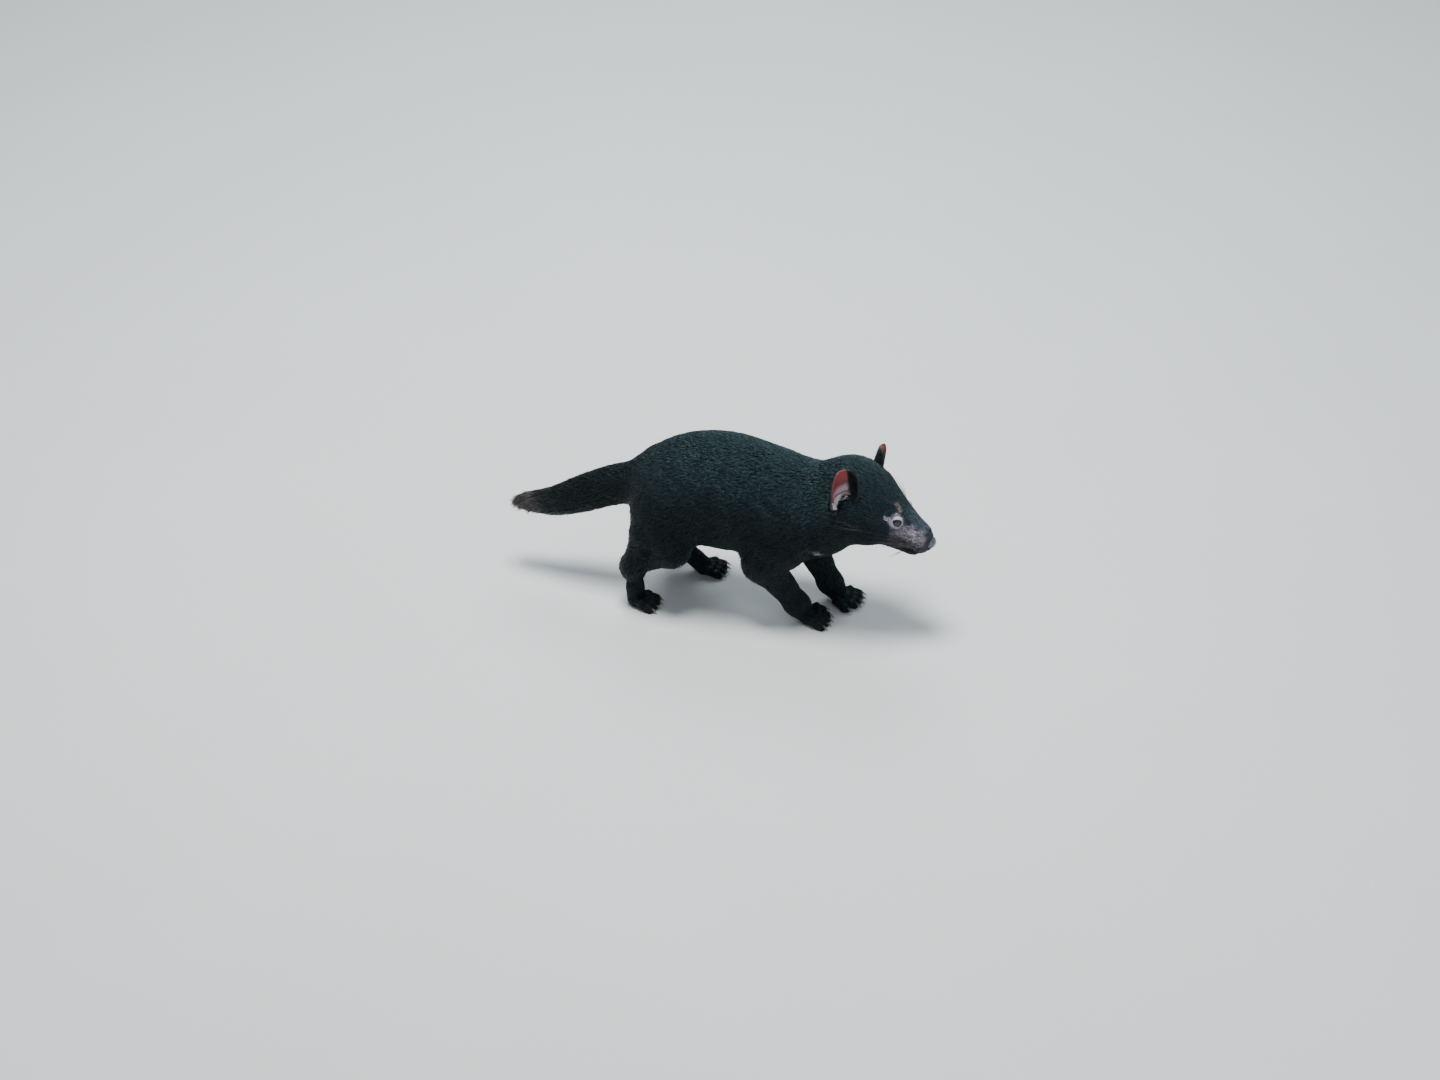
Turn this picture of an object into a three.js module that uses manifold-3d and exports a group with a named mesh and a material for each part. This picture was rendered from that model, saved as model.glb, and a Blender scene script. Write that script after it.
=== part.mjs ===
// A young Tasmanian devil, life size, caught in mid stride with its head low.
// Millimetres, +X towards the nose, +Y to the animal's left, +Z up, with the paws standing on z = 0.
// Flesh is one smooth field of round cones and ellipsoids. Each node is that field, meshed and parted from
// its neighbours by a thin gap, so that the parts meet face to face. The outline is that of the coat's tips.
import * as THREE from "three";
import { mergeVertices } from "three/addons/utils/BufferGeometryUtils.js";
import Module from "manifold-3d";

const wasm = await Module();
wasm.setup();

// Driving dimensions.
const GAP = 0.3; // between two nodes that meet
const TRUNK_NARROWNESS = 0.86; // the trunk's width over its height
const HEAD_PITCH = -24; // degrees, nose down
const HEAD_YAW = -6; // degrees, turned to the animal's right
const HEAD_ROLL = -4; // degrees, right side up
const EYE_RADIUS = 6.2;
const EYE_AT = { x: 61.5, y: 23.5, z: 3.5 }; // the left eye's centre in the head's frame
const EYE_LOOKS = { x: 0.52, y: 0.79, z: 0.32 }; // the way the left eye looks, in the same frame
const LID_RADIUS = 6.3;
const LID_THICKNESS = 1.5;
const NOSE_AT = { x: 111.5, z: -11 };
const NOSE_RADII = { x: 9, y: 10, z: 8.5 };
const MOUTH_DEPTH = 2.6;
const MOUTH_GAP = 1.4;
// Each ear is held in its own way: its root in the head's frame, its length, the way it points and the way its
// hollow faces.
const EARS = {
  left: { root: [2, 42, -7], length: 58, up: [0.28, 0.06, 0.96], faces: [0.96, 0.12, -0.1] },
  right: { root: [-12, -44, -4], length: 59, up: [0.07, -0.17, 0.98], faces: [0.66, -0.74, -0.1] },
};
const EAR_WIDTH = 38;
const EAR_THICKNESS = 3;
const EAR_ROLL = { root: 84, tip: 50 }; // half the angle that the cup spans, in degrees
const TOE_RADIUS = 5.2;
const TOE_REACH = 27; // of a middle toe, ahead of the ball of the paw
const INNER_TOE_REACH = 17;
const TOE_FAN = 5; // degrees between two toes
const PAD_RADII = { x: 11, y: 12, z: 4.6 }; // of the pad under the ball of a paw
const PAD_HEIGHT = 3;
const TOE_PITCH = 7.6; // between the middles of two toes
const CLAW_LENGTH = 12;
const CLAW_RADIUS = 2;

const v = (x, y, z) => new THREE.Vector3(x, y, z);

// The trunk's stations, from the rump to the base of the neck: place and half height.
const TRUNK = {
  rump: [v(-74, 0, 159), 69],
  loin: [v(-42, 0, 165), 79],
  waist: [v(-8, 0, 167), 82],
  ribs: [v(30, 0, 163), 79],
  withers: [v(66, 0, 158), 75],
  chest: [v(96, 0, 154), 67],
};
const NECK = {
  base: [v(124, 0, 162), 59],
  nape: [v(156, -2, 178), 54],
};
// The tail is thick at its root, droops and ends bluntly.
const TAIL = {
  root: [v(-122, 0, 164), 31],
  upper: [v(-165, 0, 150), 28.5],
  middle: [v(-205, 0, 131), 26.5],
  lower: [v(-244, 1, 113), 21.5],
  end: [v(-282, 3, 104), 15],
  tip: [v(-296, 4, 102), 10],
};
// Each leg's joints in this stride. The left hind paw is set down well ahead of the right one.
const LEGS = {
  hind_right: {
    hip: v(-84, -36, 146),
    middle: v(-70, -50, 98),
    ankle: v(-124, -48, 60),
    ball: v(-121, -48.5, 9.8),
    ankleCut: 50,
    turnOut: -6,
  },
  hind_left: {
    hip: v(-82, 36, 146),
    middle: v(-44, 50, 94),
    ankle: v(-92, 50, 42),
    ball: v(-55, 50, 9.8),
    ankleCut: 34,
    turnOut: 8,
  },
  fore_right: {
    hip: v(76, -38, 142),
    middle: v(52, -42, 92),
    ankle: v(96, -32, 27),
    ball: v(109, -30, 9.4),
    ankleCut: 25,
    turnOut: -4,
  },
  fore_left: {
    hip: v(84, 38, 142),
    middle: v(90, 36, 92),
    ankle: v(127, 30, 27),
    ball: v(139, 29, 9.4),
    ankleCut: 25,
    turnOut: 4,
  },
};

// The signed distance to a ball rolled from a to b while its radius changes from ra to rb.
function roundCone(a, ra, b, rb) {
  const axis = b.clone().sub(a);
  const l2 = axis.lengthSq();
  const rr = ra - rb;
  const a2 = l2 - rr * rr;
  return (x, y, z) => {
    const px = x - a.x;
    const py = y - a.y;
    const pz = z - a.z;
    const along = px * axis.x + py * axis.y + pz * axis.z;
    const past = along - l2;
    const x2 =
      (px * l2 - axis.x * along) ** 2 +
      (py * l2 - axis.y * along) ** 2 +
      (pz * l2 - axis.z * along) ** 2;
    const y2 = along * along * l2;
    const z2 = past * past * l2;
    const k = Math.sign(rr) * rr * rr * x2;
    if (Math.sign(past) * a2 * z2 > k) return Math.sqrt(x2 + z2) / l2 - rb;
    if (Math.sign(along) * a2 * y2 < k) return Math.sqrt(x2 + y2) / l2 - ra;
    return (Math.sqrt((x2 * a2) / l2) + along * rr) / l2 - ra;
  };
}

// The distance, nearly, to an ellipsoid whose long axis may be pitched about Y, in degrees, nose down.
function egg(centre, radii, pitch = 0) {
  const c = Math.cos(THREE.MathUtils.degToRad(pitch));
  const s = Math.sin(THREE.MathUtils.degToRad(pitch));
  return (x, y, z) => {
    const dx = x - centre.x;
    const dz = z - centre.z;
    const px = (dx * c - dz * s) / radii.x;
    const py = (y - centre.y) / radii.y;
    const pz = (dx * s + dz * c) / radii.z;
    const k0 = Math.hypot(px, py, pz);
    const k1 = Math.hypot(px / radii.x, py / radii.y, pz / radii.z);
    return k1 < 1e-9 ? -Math.min(radii.x, radii.y, radii.z) : (k0 * (k0 - 1)) / k1;
  };
}

function blend(a, b, k) {
  const h = Math.max(k - Math.abs(a - b), 0) / k;
  return Math.min(a, b) - (h * h * k) / 4;
}

const joined = (k, ...fields) => (x, y, z) =>
  fields.reduce((d, f) => blend(d, f(x, y, z), k), 1e3);

// A smooth limbless form through named stations, squeezed sideways by a factor: round cones between close
// places along a curve, whose radius follows the stations' radii just as smoothly.
const LINKS_PER_STATION = 5;
function chain(stations, squeeze = 1) {
  const list = Object.values(stations);
  const steps = (list.length - 1) * LINKS_PER_STATION;
  const line = new THREE.CatmullRomCurve3(list.map(([place]) => place), false, "catmullrom");
  const sizes = new THREE.CatmullRomCurve3(list.map(([, radius], i) => v(radius, i, 0)), false, "catmullrom");
  const links = [];
  for (let i = 0; i < steps; i++) {
    const [t0, t1] = [i / steps, (i + 1) / steps];
    links.push(
      roundCone(line.getPoint(t0), sizes.getPoint(t0).x, line.getPoint(t1), sizes.getPoint(t1).x),
    );
  }
  return (x, y, z) => links.reduce((d, link) => Math.min(d, link(x, y / squeeze, z)), 1e3);
}

// Flesh of each kind of leg: the muscle at its root, how far its bone starts from the hip, and the radii
// at the ends of the upper leg, the lower leg and the foot. A strand of muscle fills the back of a hind leg,
// from its own place by the hip to the ankle. The places are for a left leg.
const LEG_FLESH = {
  hind: {
    muscle: { at: v(4, 4, -10), radii: v(46, 29, 56), tilt: 12 },
    boneAt: v(-6, 2, -8),
    upper: [34, 25],
    lower: [24, 13.5],
    foot: [13, 12],
    strandAt: v(-24, 12, -34),
    strand: [21, 14],
  },
  fore: {
    muscle: { at: v(0, 2, -4), radii: v(38, 26, 54), tilt: -8 },
    boneAt: v(-6, 4, -22),
    upper: [30, 27],
    lower: [26, 14.5],
    foot: [14, 11.5],
  },
};
const MUSCLE_FILLET = 14;
const BODY_FILLET = 20;
const NECK_FILLET = 22;
const HEAD_FILLET = 24;
const TAIL_FILLET = 16;

function legFlesh({ hip, middle, ankle, ball }, { muscle, boneAt, upper, lower, foot, strandAt, strand }) {
  const sided = v(1, Math.sign(hip.y), 1);
  const fromHip = (offset) => hip.clone().add(offset.clone().multiply(sided));
  return joined(
    MUSCLE_FILLET,
    egg(fromHip(muscle.at), muscle.radii, muscle.tilt),
    roundCone(fromHip(boneAt), upper[0], middle, upper[1]),
    roundCone(middle, lower[0], ankle, lower[1]),
    roundCone(ankle, foot[0], ball, foot[1]),
    ...(strand ? [roundCone(fromHip(strandAt), strand[0], ankle, strand[1])] : []),
  );
}

// The head has a frame of its own: x to the nose, y to the left, z up, with its origin between the ears.
const headFrame = new THREE.Matrix4().compose(
  v(172, -3, 197),
  new THREE.Quaternion().setFromEuler(
    new THREE.Euler(
      THREE.MathUtils.degToRad(HEAD_ROLL),
      THREE.MathUtils.degToRad(-HEAD_PITCH),
      THREE.MathUtils.degToRad(HEAD_YAW),
      "ZYX",
    ),
  ),
  v(1, 1, 1),
);
const headInverse = headFrame.clone().invert();
const onBothSides = (f) => (x, y, z) => f(x, Math.abs(y), z);

// The head's flesh in its own frame: the skull, the cheeks, the muzzle, the lower jaw and the upper lip.
const FACE_FILLET = 12;
const skullForm = egg(v(2, 0, -4), v(56, 50, 44));
const cheekForm = onBothSides(egg(v(26, 24, -19), v(38, 26, 30)));
const muzzleForm = roundCone(v(44, 0, -8), 33, v(96, 0, -15), 18.5);
const jawForm = roundCone(v(20, 0, -28), 29, v(92, 0, -28), 13);
const upperLipForm = roundCone(v(94, 0, -15), 17.5, v(104, 0, -15), 12.5);
const headParts = joined(
  FACE_FILLET,
  skullForm,
  cheekForm,
  muzzleForm,
  jawForm,
  upperLipForm,
);

const point = new THREE.Vector3();
function head(x, y, z) {
  point.set(x, y, z).applyMatrix4(headInverse);
  return headParts(point.x, point.y, point.z);
}

const trunk = chain(TRUNK, TRUNK_NARROWNESS);
const neck = chain(NECK);
const tail = chain(TAIL);
const kindOf = (name) => name.split("_")[0];
const legFields = Object.entries(LEGS).map(([name, leg]) => legFlesh(leg, LEG_FLESH[kindOf(name)]));
const trunkAndLegs = joined(BODY_FILLET, trunk, ...legFields);
const body = (x, y, z) => {
  let d = blend(trunkAndLegs(x, y, z), neck(x, y, z), NECK_FILLET);
  d = blend(d, head(x, y, z), HEAD_FILLET);
  return blend(d, tail(x, y, z), TAIL_FILLET);
};

// Surface nets: one vertex in each cell that the surface crosses, set down on the surface.
function meshOf(field, low, high, cell) {
  const n = ["x", "y", "z"].map((k) => Math.ceil((high[k] - low[k]) / cell[k]) + 1);
  const at = (i, j, k) => (k * n[1] + j) * n[0] + i;
  const place = (i, j, k) => v(low.x + i * cell.x, low.y + j * cell.y, low.z + k * cell.z);
  const values = new Float64Array(n[0] * n[1] * n[2]);
  for (let k = 0; k < n[2]; k++)
    for (let j = 0; j < n[1]; j++)
      for (let i = 0; i < n[0]; i++) {
        const edge = i * j * k === 0 || i === n[0] - 1 || j === n[1] - 1 || k === n[2] - 1;
        const p = place(i, j, k);
        values[at(i, j, k)] = edge ? Math.max(1, field(p.x, p.y, p.z)) : field(p.x, p.y, p.z);
      }
  const corners = [0, 1, 2, 3, 4, 5, 6, 7].map((c) => [c & 1, (c >> 1) & 1, (c >> 2) & 1]);
  const edges = [];
  corners.forEach((c, a) =>
    [1, 2, 4].forEach((bit) => {
      if (!(a & bit)) edges.push([a, a | bit]);
    }),
  );
  const positions = [];
  const vertexOf = new Map();
  for (let k = 0; k < n[2] - 1; k++)
    for (let j = 0; j < n[1] - 1; j++)
      for (let i = 0; i < n[0] - 1; i++) {
        const f = corners.map(([a, b, c]) => values[at(i + a, j + b, k + c)]);
        const sum = v(0, 0, 0);
        let count = 0;
        for (const [a, b] of edges) {
          if (f[a] < 0 === f[b] < 0) continue;
          const t = f[a] / (f[a] - f[b]);
          const pa = place(i + corners[a][0], j + corners[a][1], k + corners[a][2]);
          const pb = place(i + corners[b][0], j + corners[b][1], k + corners[b][2]);
          sum.add(pa.lerp(pb, t));
          count++;
        }
        if (!count) continue;
        vertexOf.set(at(i, j, k), positions.length / 3);
        positions.push(...settled(field, sum.divideScalar(count), cell).toArray());
      }
  const faces = [];
  const quad = (a, b, c, d, flip) => {
    const q = flip ? [d, c, b, a] : [a, b, c, d];
    const p = q.map((i) => v(...positions.slice(3 * i, 3 * i + 3)));
    if (p[0].distanceTo(p[2]) < p[1].distanceTo(p[3]))
      faces.push(q[0], q[1], q[2], q[0], q[2], q[3]);
    else faces.push(q[1], q[2], q[3], q[1], q[3], q[0]);
  };
  for (let k = 0; k < n[2] - 1; k++)
    for (let j = 0; j < n[1] - 1; j++)
      for (let i = 0; i < n[0] - 1; i++) {
        const here = values[at(i, j, k)] < 0;
        const cellAt = (a, b, c) => vertexOf.get(at(i - a, j - b, k - c));
        if (j && k && here !== values[at(i + 1, j, k)] < 0)
          quad(cellAt(0, 1, 1), cellAt(0, 0, 1), cellAt(0, 0, 0), cellAt(0, 1, 0), !here);
        if (i && k && here !== values[at(i, j + 1, k)] < 0)
          quad(cellAt(1, 0, 1), cellAt(1, 0, 0), cellAt(0, 0, 0), cellAt(0, 0, 1), !here);
        if (i && j && here !== values[at(i, j, k + 1)] < 0)
          quad(cellAt(1, 1, 0), cellAt(0, 1, 0), cellAt(0, 0, 0), cellAt(1, 0, 0), !here);
      }
  const g = new THREE.BufferGeometry();
  g.setAttribute("position", new THREE.Float32BufferAttribute(positions, 3));
  g.setIndex(faces);
  return g;
}

// Moves a point onto the surface, where the surface is nearer than a cell.
function settled(field, p, cell) {
  const reach = Math.min(cell.x, cell.y, cell.z);
  const e = 0.05;
  for (let step = 0; step < 3; step++) {
    const d = field(p.x, p.y, p.z);
    if (Math.abs(d) > reach) return p;
    const slope = v(
      field(p.x + e, p.y, p.z) - field(p.x - e, p.y, p.z),
      field(p.x, p.y + e, p.z) - field(p.x, p.y - e, p.z),
      field(p.x, p.y, p.z + e) - field(p.x, p.y, p.z - e),
    ).divideScalar(2 * e);
    p.addScaledVector(slope, -d / Math.max(slope.lengthSq(), 0.05));
  }
  return p;
}

// Makes a closed solid of a geometry, so that it can be joined and cut.
function solidOf(geometry, matrix = new THREE.Matrix4()) {
  const bare = new THREE.BufferGeometry();
  bare.setAttribute("position", geometry.getAttribute("position").clone());
  if (geometry.index) bare.setIndex(geometry.index.clone());
  bare.applyMatrix4(matrix);
  const merged = geometry.getAttribute("uv") ? mergeVertices(bare, 1e-3) : bare;
  return new wasm.Manifold(
    new wasm.Mesh({
      numProp: 3,
      vertProperties: merged.getAttribute("position").array,
      triVerts: new Uint32Array(merged.index.array),
    }),
  );
}

// The largest closed surface of a solid, so that no loose scrap is left.
function whole(solid) {
  return solid.decompose().reduce((a, b) => (a.volume() > b.volume() ? a : b));
}

function geometryOf(solid) {
  const mesh = whole(solid).getMesh();
  const g = new THREE.BufferGeometry();
  g.setAttribute("position", new THREE.Float32BufferAttribute(mesh.vertProperties, 3));
  g.setIndex(new THREE.Uint32BufferAttribute(mesh.triVerts, 1));
  g.computeVertexNormals();
  return g;
}

// The half of space behind a plane through a point, as a block that is large enough for the animal.
const FAR = 900;
function behind(through, facing, gap = 0) {
  const n = facing.clone().normalize();
  const turn = new THREE.Quaternion().setFromUnitVectors(v(0, 0, 1), n);
  const centre = through.clone().addScaledVector(n, -FAR / 2 - gap);
  return solidOf(
    new THREE.BoxGeometry(FAR, FAR, FAR),
    new THREE.Matrix4().compose(centre, turn, v(1, 1, 1)),
  );
}

function block(low, high) {
  const size = high.clone().sub(low);
  const centre = low.clone().add(high).multiplyScalar(0.5);
  return solidOf(
    new THREE.BoxGeometry(size.x, size.y, size.z),
    new THREE.Matrix4().makeTranslation(centre),
  );
}

function ellipsoid(centre, radii, grow = 0, around = 18) {
  return solidOf(
    new THREE.SphereGeometry(1, around, around / 2),
    new THREE.Matrix4().compose(
      centre,
      new THREE.Quaternion(),
      v(radii.x + grow, radii.y + grow, radii.z + grow),
    ),
  );
}

// A round closed tube along a curve, whose radius is a function of the way along it.
function tube(points, radiusAt, sides, steps) {
  const curve = new THREE.CatmullRomCurve3(points);
  const frames = curve.computeFrenetFrames(steps, false);
  const positions = [];
  const faces = [];
  positions.push(...curve.getPointAt(0).toArray());
  for (let i = 0; i <= steps; i++) {
    const centre = curve.getPointAt(i / steps);
    for (let j = 0; j < sides; j++) {
      const angle = (2 * Math.PI * j) / sides;
      const r = radiusAt(i / steps);
      positions.push(
        ...centre
          .clone()
          .addScaledVector(frames.normals[i], r * Math.cos(angle))
          .addScaledVector(frames.binormals[i], r * Math.sin(angle))
          .toArray(),
      );
    }
  }
  positions.push(...curve.getPointAt(1).toArray());
  const last = positions.length / 3 - 1;
  const ring = (i, j) => 1 + i * sides + (j % sides);
  for (let j = 0; j < sides; j++) {
    faces.push(0, ring(0, j + 1), ring(0, j));
    faces.push(last, ring(steps, j), ring(steps, j + 1));
    for (let i = 0; i < steps; i++)
      faces.push(
        ring(i, j), ring(i, j + 1), ring(i + 1, j),
        ring(i + 1, j), ring(i, j + 1), ring(i + 1, j + 1),
      );
  }
  const g = new THREE.BufferGeometry();
  g.setAttribute("position", new THREE.Float32BufferAttribute(positions, 3));
  g.setIndex(faces);
  return solidOf(g);
}

const roundEnded = (r, share) => (t) =>
  r * Math.sqrt(Math.max(0.02, 1 - Math.max(0, (t - 1 + share) / share) ** 2));

// Where each limb is parted from the trunk: an oval round its muscles, and everything below the belly.
const BELLY_CUT = 78;
const LIMB_OVALS = {
  hind: { offset: v(0, 22, -18), radii: v(53, 42, 62) },
  fore: { offset: v(-2, 18, -14), radii: v(43, 38, 60) },
};
function limbRegion(name, grow = 0) {
  const leg = LEGS[name];
  const side = Math.sign(leg.hip.y);
  const { offset, radii } = LIMB_OVALS[kindOf(name)];
  const centre = leg.hip.clone().add(v(offset.x, side * offset.y, offset.z));
  const near = side * (4 - grow);
  const far = side * (100 + grow);
  const foot = block(
    v(leg.hip.x - 80, Math.min(near, far), -20),
    v(leg.hip.x + 100, Math.max(near, far), BELLY_CUT + grow),
  );
  return ellipsoid(centre, radii, grow).add(foot);
}

// The planes that part the trunk, neck, head and tail. Each one faces away from the trunk.
const CUTS = {
  neck: { at: v(118, 0, 160), facing: v(0.95, 0, 0.3) },
  head: { at: v(148, -2, 180), facing: v(0.99, -0.05, -0.12) },
  tail: { at: v(-131, 0, 166), facing: v(-0.97, 0, 0.25) },
  tailEnd: { at: v(-216, 0, 125), facing: v(-0.9, 0, -0.42) },
};
const inside = (cut) => behind(cut.at, cut.facing, GAP / 2);
const outside = (cut) => behind(cut.at, cut.facing.clone().negate(), GAP / 2);

// The size of the facets of each part of the body.
const CELLS = {
  torso: v(19, 15.2, 15.6),
  neck: v(11.8, 11.2, 11.4),
  tail: v(12.6, 9.4, 9.4),
  upperLeg: v(11.4, 10.8, 11.2),
  lowerLeg: v(9.6, 9.3, 10.6),
  paw: v(10.4, 9.4, 9.2),
  head: v(10.8, 9.4, 9.4),
};
const region = (low, high, cell) => solidOf(meshOf(body, low, high, cell));

const MATERIALS = {
  coat: { color: 0x16181a, roughness: 0.75 },
  ear: { color: 0x8a4a42, roughness: 0.6 },
  nose: { color: 0x2a3038, roughness: 0.35 },
  eye: { color: 0x0c0d10, roughness: 0.08 },
  claw: { color: 0x8f867a, roughness: 0.4 },
};
const devil = new THREE.Group();
function addNode(name, solid, material) {
  const mesh = new THREE.Mesh(
    geometryOf(solid),
    new THREE.MeshStandardMaterial({ ...MATERIALS[material], metalness: 0 }),
  );
  mesh.name = name;
  devil.add(mesh);
}

// Trunk, neck and tail.
const limbNames = Object.keys(LEGS);
const limbsCut = limbNames.map((name) => limbRegion(name, GAP));
const withoutLimbs = (solid) => limbsCut.reduce((s, limb) => s.subtract(limb), solid);

function addTrunk() {
  const trunkSolid = region(v(-165, -95, 62), v(140, 95, 262), CELLS.torso)
    .intersect(inside(CUTS.neck))
    .intersect(inside(CUTS.tail));
  addNode("torso", withoutLimbs(trunkSolid), "coat");
  const neckSolid = region(v(80, -95, 84), v(176, 95, 262), CELLS.neck)
    .intersect(outside(CUTS.neck))
    .intersect(inside(CUTS.head));
  addNode("neck", withoutLimbs(neckSolid), "coat");
}

function addTail() {
  const tailSolid = region(v(-330, -45, 70), v(-105, 45, 215), CELLS.tail).intersect(
    outside(CUTS.tail),
  );
  addNode("tail_root", tailSolid.intersect(inside(CUTS.tailEnd)), "coat");
  addNode("tail_end", tailSolid.intersect(outside(CUTS.tailEnd)), "coat");
}

// Toes fan out from the ball of a paw. The fore paws have a fifth, on the inner side.
function toesOf(name, leg) {
  const fore = name.startsWith("fore");
  const side = Math.sign(leg.ball.y);
  const toes = [-1.5, -0.5, 0.5, 1.5].map((step) => ({
    across: step * TOE_PITCH,
    fan: step * TOE_FAN + leg.turnOut,
    reach: TOE_REACH - 2.2 * Math.abs(step),
  }));
  if (fore) toes.push({ across: -side * 2.3 * TOE_PITCH, fan: -side * 24, reach: INNER_TOE_REACH });
  return toes.map(({ across, fan, reach }) => {
    const angle = THREE.MathUtils.degToRad(fan);
    const ahead = v(Math.cos(angle), Math.sin(angle), 0);
    const root = leg.ball.clone().add(v(0, across * 0.8, -1));
    const at = (along, height) =>
      leg.ball
        .clone()
        .setZ(height)
        .add(v(0, across, 0))
        .addScaledVector(ahead, along);
    const path = [root, at(reach * 0.5, 8.6), at(reach * 0.8, 5.6), at(reach, 4.2)];
    const clawPath = [
      at(reach - 4, 5.6),
      at(reach + CLAW_LENGTH * 0.4, 6.1),
      at(reach + CLAW_LENGTH * 0.75, 3.5),
      at(reach + CLAW_LENGTH, 1.3),
    ];
    return { path, clawPath };
  });
}

function addLeg(name) {
  const leg = LEGS[name];
  const toes = toesOf(name, leg);
  const fore = name.startsWith("fore");
  const [upperName, lowerName, footName] = fore
    ? ["upper_arm", "forearm", "fore_paw"]
    : ["thigh", "shank", "hind_paw"];
  const side = name.split("_")[1];
  const y0 = side === "left" ? -6 : -105;
  const low = (z) => v(leg.hip.x - 95, y0, z);
  const high = (z) => v(leg.hip.x + 105, y0 + 111, z);
  const limits = limbRegion(name);
  const elbow = {
    at: leg.middle.clone().add(fore ? v(0, 0, -10) : v(6, 0, -8)),
    facing: fore ? v(0.35, 0, -0.94) : v(-0.42, 0, -0.9),
  };
  const ankle = { at: v(0, 0, leg.ankleCut), facing: v(0, 0, -1) };
  const limb = region(low(-12), high(215), CELLS.upperLeg).intersect(limits);
  addNode(`${upperName}_${side}`, limb.intersect(inside(elbow)), "coat");
  const fine = region(low(-12), high(130), CELLS.lowerLeg).intersect(limits);
  addNode(
    `${lowerName}_${side}`,
    fine.intersect(outside(elbow)).intersect(inside(ankle)),
    "coat",
  );
  let paw = region(low(-12), high(62), CELLS.paw).intersect(limits).intersect(outside(ankle));
  for (const { path } of toes)
    paw = paw.add(tube(path, roundEnded(TOE_RADIUS, 0.2), 6, 3));
  const pad = leg.ball.clone().add(v(4, 0, 0)).setZ(PAD_HEIGHT);
  paw = paw.add(ellipsoid(pad, PAD_RADII, 0, 12));
  paw = paw.intersect(behind(v(0, 0, 0), v(0, 0, -1)));
  toes.forEach(({ clawPath }, i) => {
    paw = paw.subtract(tube(clawPath, (t) => CLAW_RADIUS + GAP - t * 1.6, 5, 3));
    addNode(
      `claw_${fore ? "fore" : "hind"}_${side}_${i + 1}`,
      tube(clawPath, (t) => CLAW_RADIUS - t * 1.6, 5, 3),
      "claw",
    );
  });
  addNode(`${footName}_${side}`, paw, "coat");
}

// A cupped ear: a curved sheet, rolled tighter at its root, with its hollow side facing ahead and out.
function earSolid(side) {
  const ear = EARS[side > 0 ? "left" : "right"];
  const root = v(...ear.root).applyMatrix4(headFrame);
  const axis = v(...ear.up).normalize();
  const faces = v(...ear.faces).normalize();
  const across = v().crossVectors(axis, faces).normalize();
  const hollow = v().crossVectors(across, axis).normalize();
  const AROUND = 7;
  const ALONG = 8;
  const half = (t) =>
    0.5 * EAR_WIDTH * Math.max(0.12, 1 - (Math.abs(t - 0.48) / 0.54) ** 2.8) ** 0.5;
  const roll = (t) => THREE.MathUtils.degToRad(THREE.MathUtils.lerp(EAR_ROLL.root, EAR_ROLL.tip, t));
  const positions = [];
  for (const thick of [0, EAR_THICKNESS])
    for (let i = 0; i <= ALONG; i++)
      for (let j = 0; j <= AROUND; j++) {
        const t = i / ALONG;
        const angle = roll(t) * ((2 * j) / AROUND - 1);
        const r = half(t) / Math.sin(roll(t));
        const p = root
          .clone()
          .addScaledVector(axis, ear.length * t)
          .addScaledVector(hollow, r - (r + thick) * Math.cos(angle))
          .addScaledVector(across, (r + thick) * Math.sin(angle));
        positions.push(...p.toArray());
      }
  const sheet = (ALONG + 1) * (AROUND + 1);
  const at = (s, i, j) => s * sheet + i * (AROUND + 1) + j;
  const faceList = [];
  const quad = (a, b, c, d) => faceList.push(a, b, c, a, c, d);
  for (let i = 0; i < ALONG; i++)
    for (let j = 0; j < AROUND; j++) {
      quad(at(0, i, j), at(0, i, j + 1), at(0, i + 1, j + 1), at(0, i + 1, j));
      quad(at(1, i, j), at(1, i + 1, j), at(1, i + 1, j + 1), at(1, i, j + 1));
    }
  for (let i = 0; i < ALONG; i++) {
    quad(at(0, i, 0), at(0, i + 1, 0), at(1, i + 1, 0), at(1, i, 0));
    quad(at(0, i, AROUND), at(1, i, AROUND), at(1, i + 1, AROUND), at(0, i + 1, AROUND));
  }
  for (let j = 0; j < AROUND; j++) {
    quad(at(0, 0, j), at(1, 0, j), at(1, 0, j + 1), at(0, 0, j + 1));
    quad(at(0, ALONG, j), at(0, ALONG, j + 1), at(1, ALONG, j + 1), at(1, ALONG, j));
  }
  const g = new THREE.BufferGeometry();
  g.setAttribute("position", new THREE.Float32BufferAttribute(positions, 3));
  g.setIndex(faceList);
  return solidOf(g);
}

// The mouth: a thin curved sheet across the muzzle, cut only as deep as the lips are.
function mouthCutter() {
  const line = [
    new THREE.Vector2(54, -25),
    new THREE.Vector2(72, -27.5),
    new THREE.Vector2(92, -26),
    new THREE.Vector2(125, -21),
  ];
  const shape = new THREE.Shape();
  shape.moveTo(line[0].x, line[0].y + MOUTH_GAP / 2);
  shape.splineThru(line.slice(1).map((p) => p.clone().add(new THREE.Vector2(0, MOUTH_GAP / 2))));
  const back = line.map((p) => p.clone().sub(new THREE.Vector2(0, MOUTH_GAP / 2))).reverse();
  shape.lineTo(back[0].x, back[0].y);
  shape.splineThru(back.slice(1));
  const WIDTH = 100;
  const sheet = new THREE.ExtrudeGeometry(shape, {
    depth: WIDTH,
    bevelEnabled: false,
    curveSegments: 4,
  });
  sheet.translate(0, 0, -WIDTH / 2).rotateX(Math.PI / 2);
  const core = meshOf(
    (x, y, z) => headParts(x, y, z) + MOUTH_DEPTH,
    v(30, -60, -75),
    v(130, 60, 30),
    CELLS.head,
  );
  return solidOf(sheet, headFrame).subtract(solidOf(core, headFrame));
}

function eyeAt(side) {
  return v(EYE_AT.x, side * EYE_AT.y, EYE_AT.z).applyMatrix4(headFrame);
}

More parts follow.
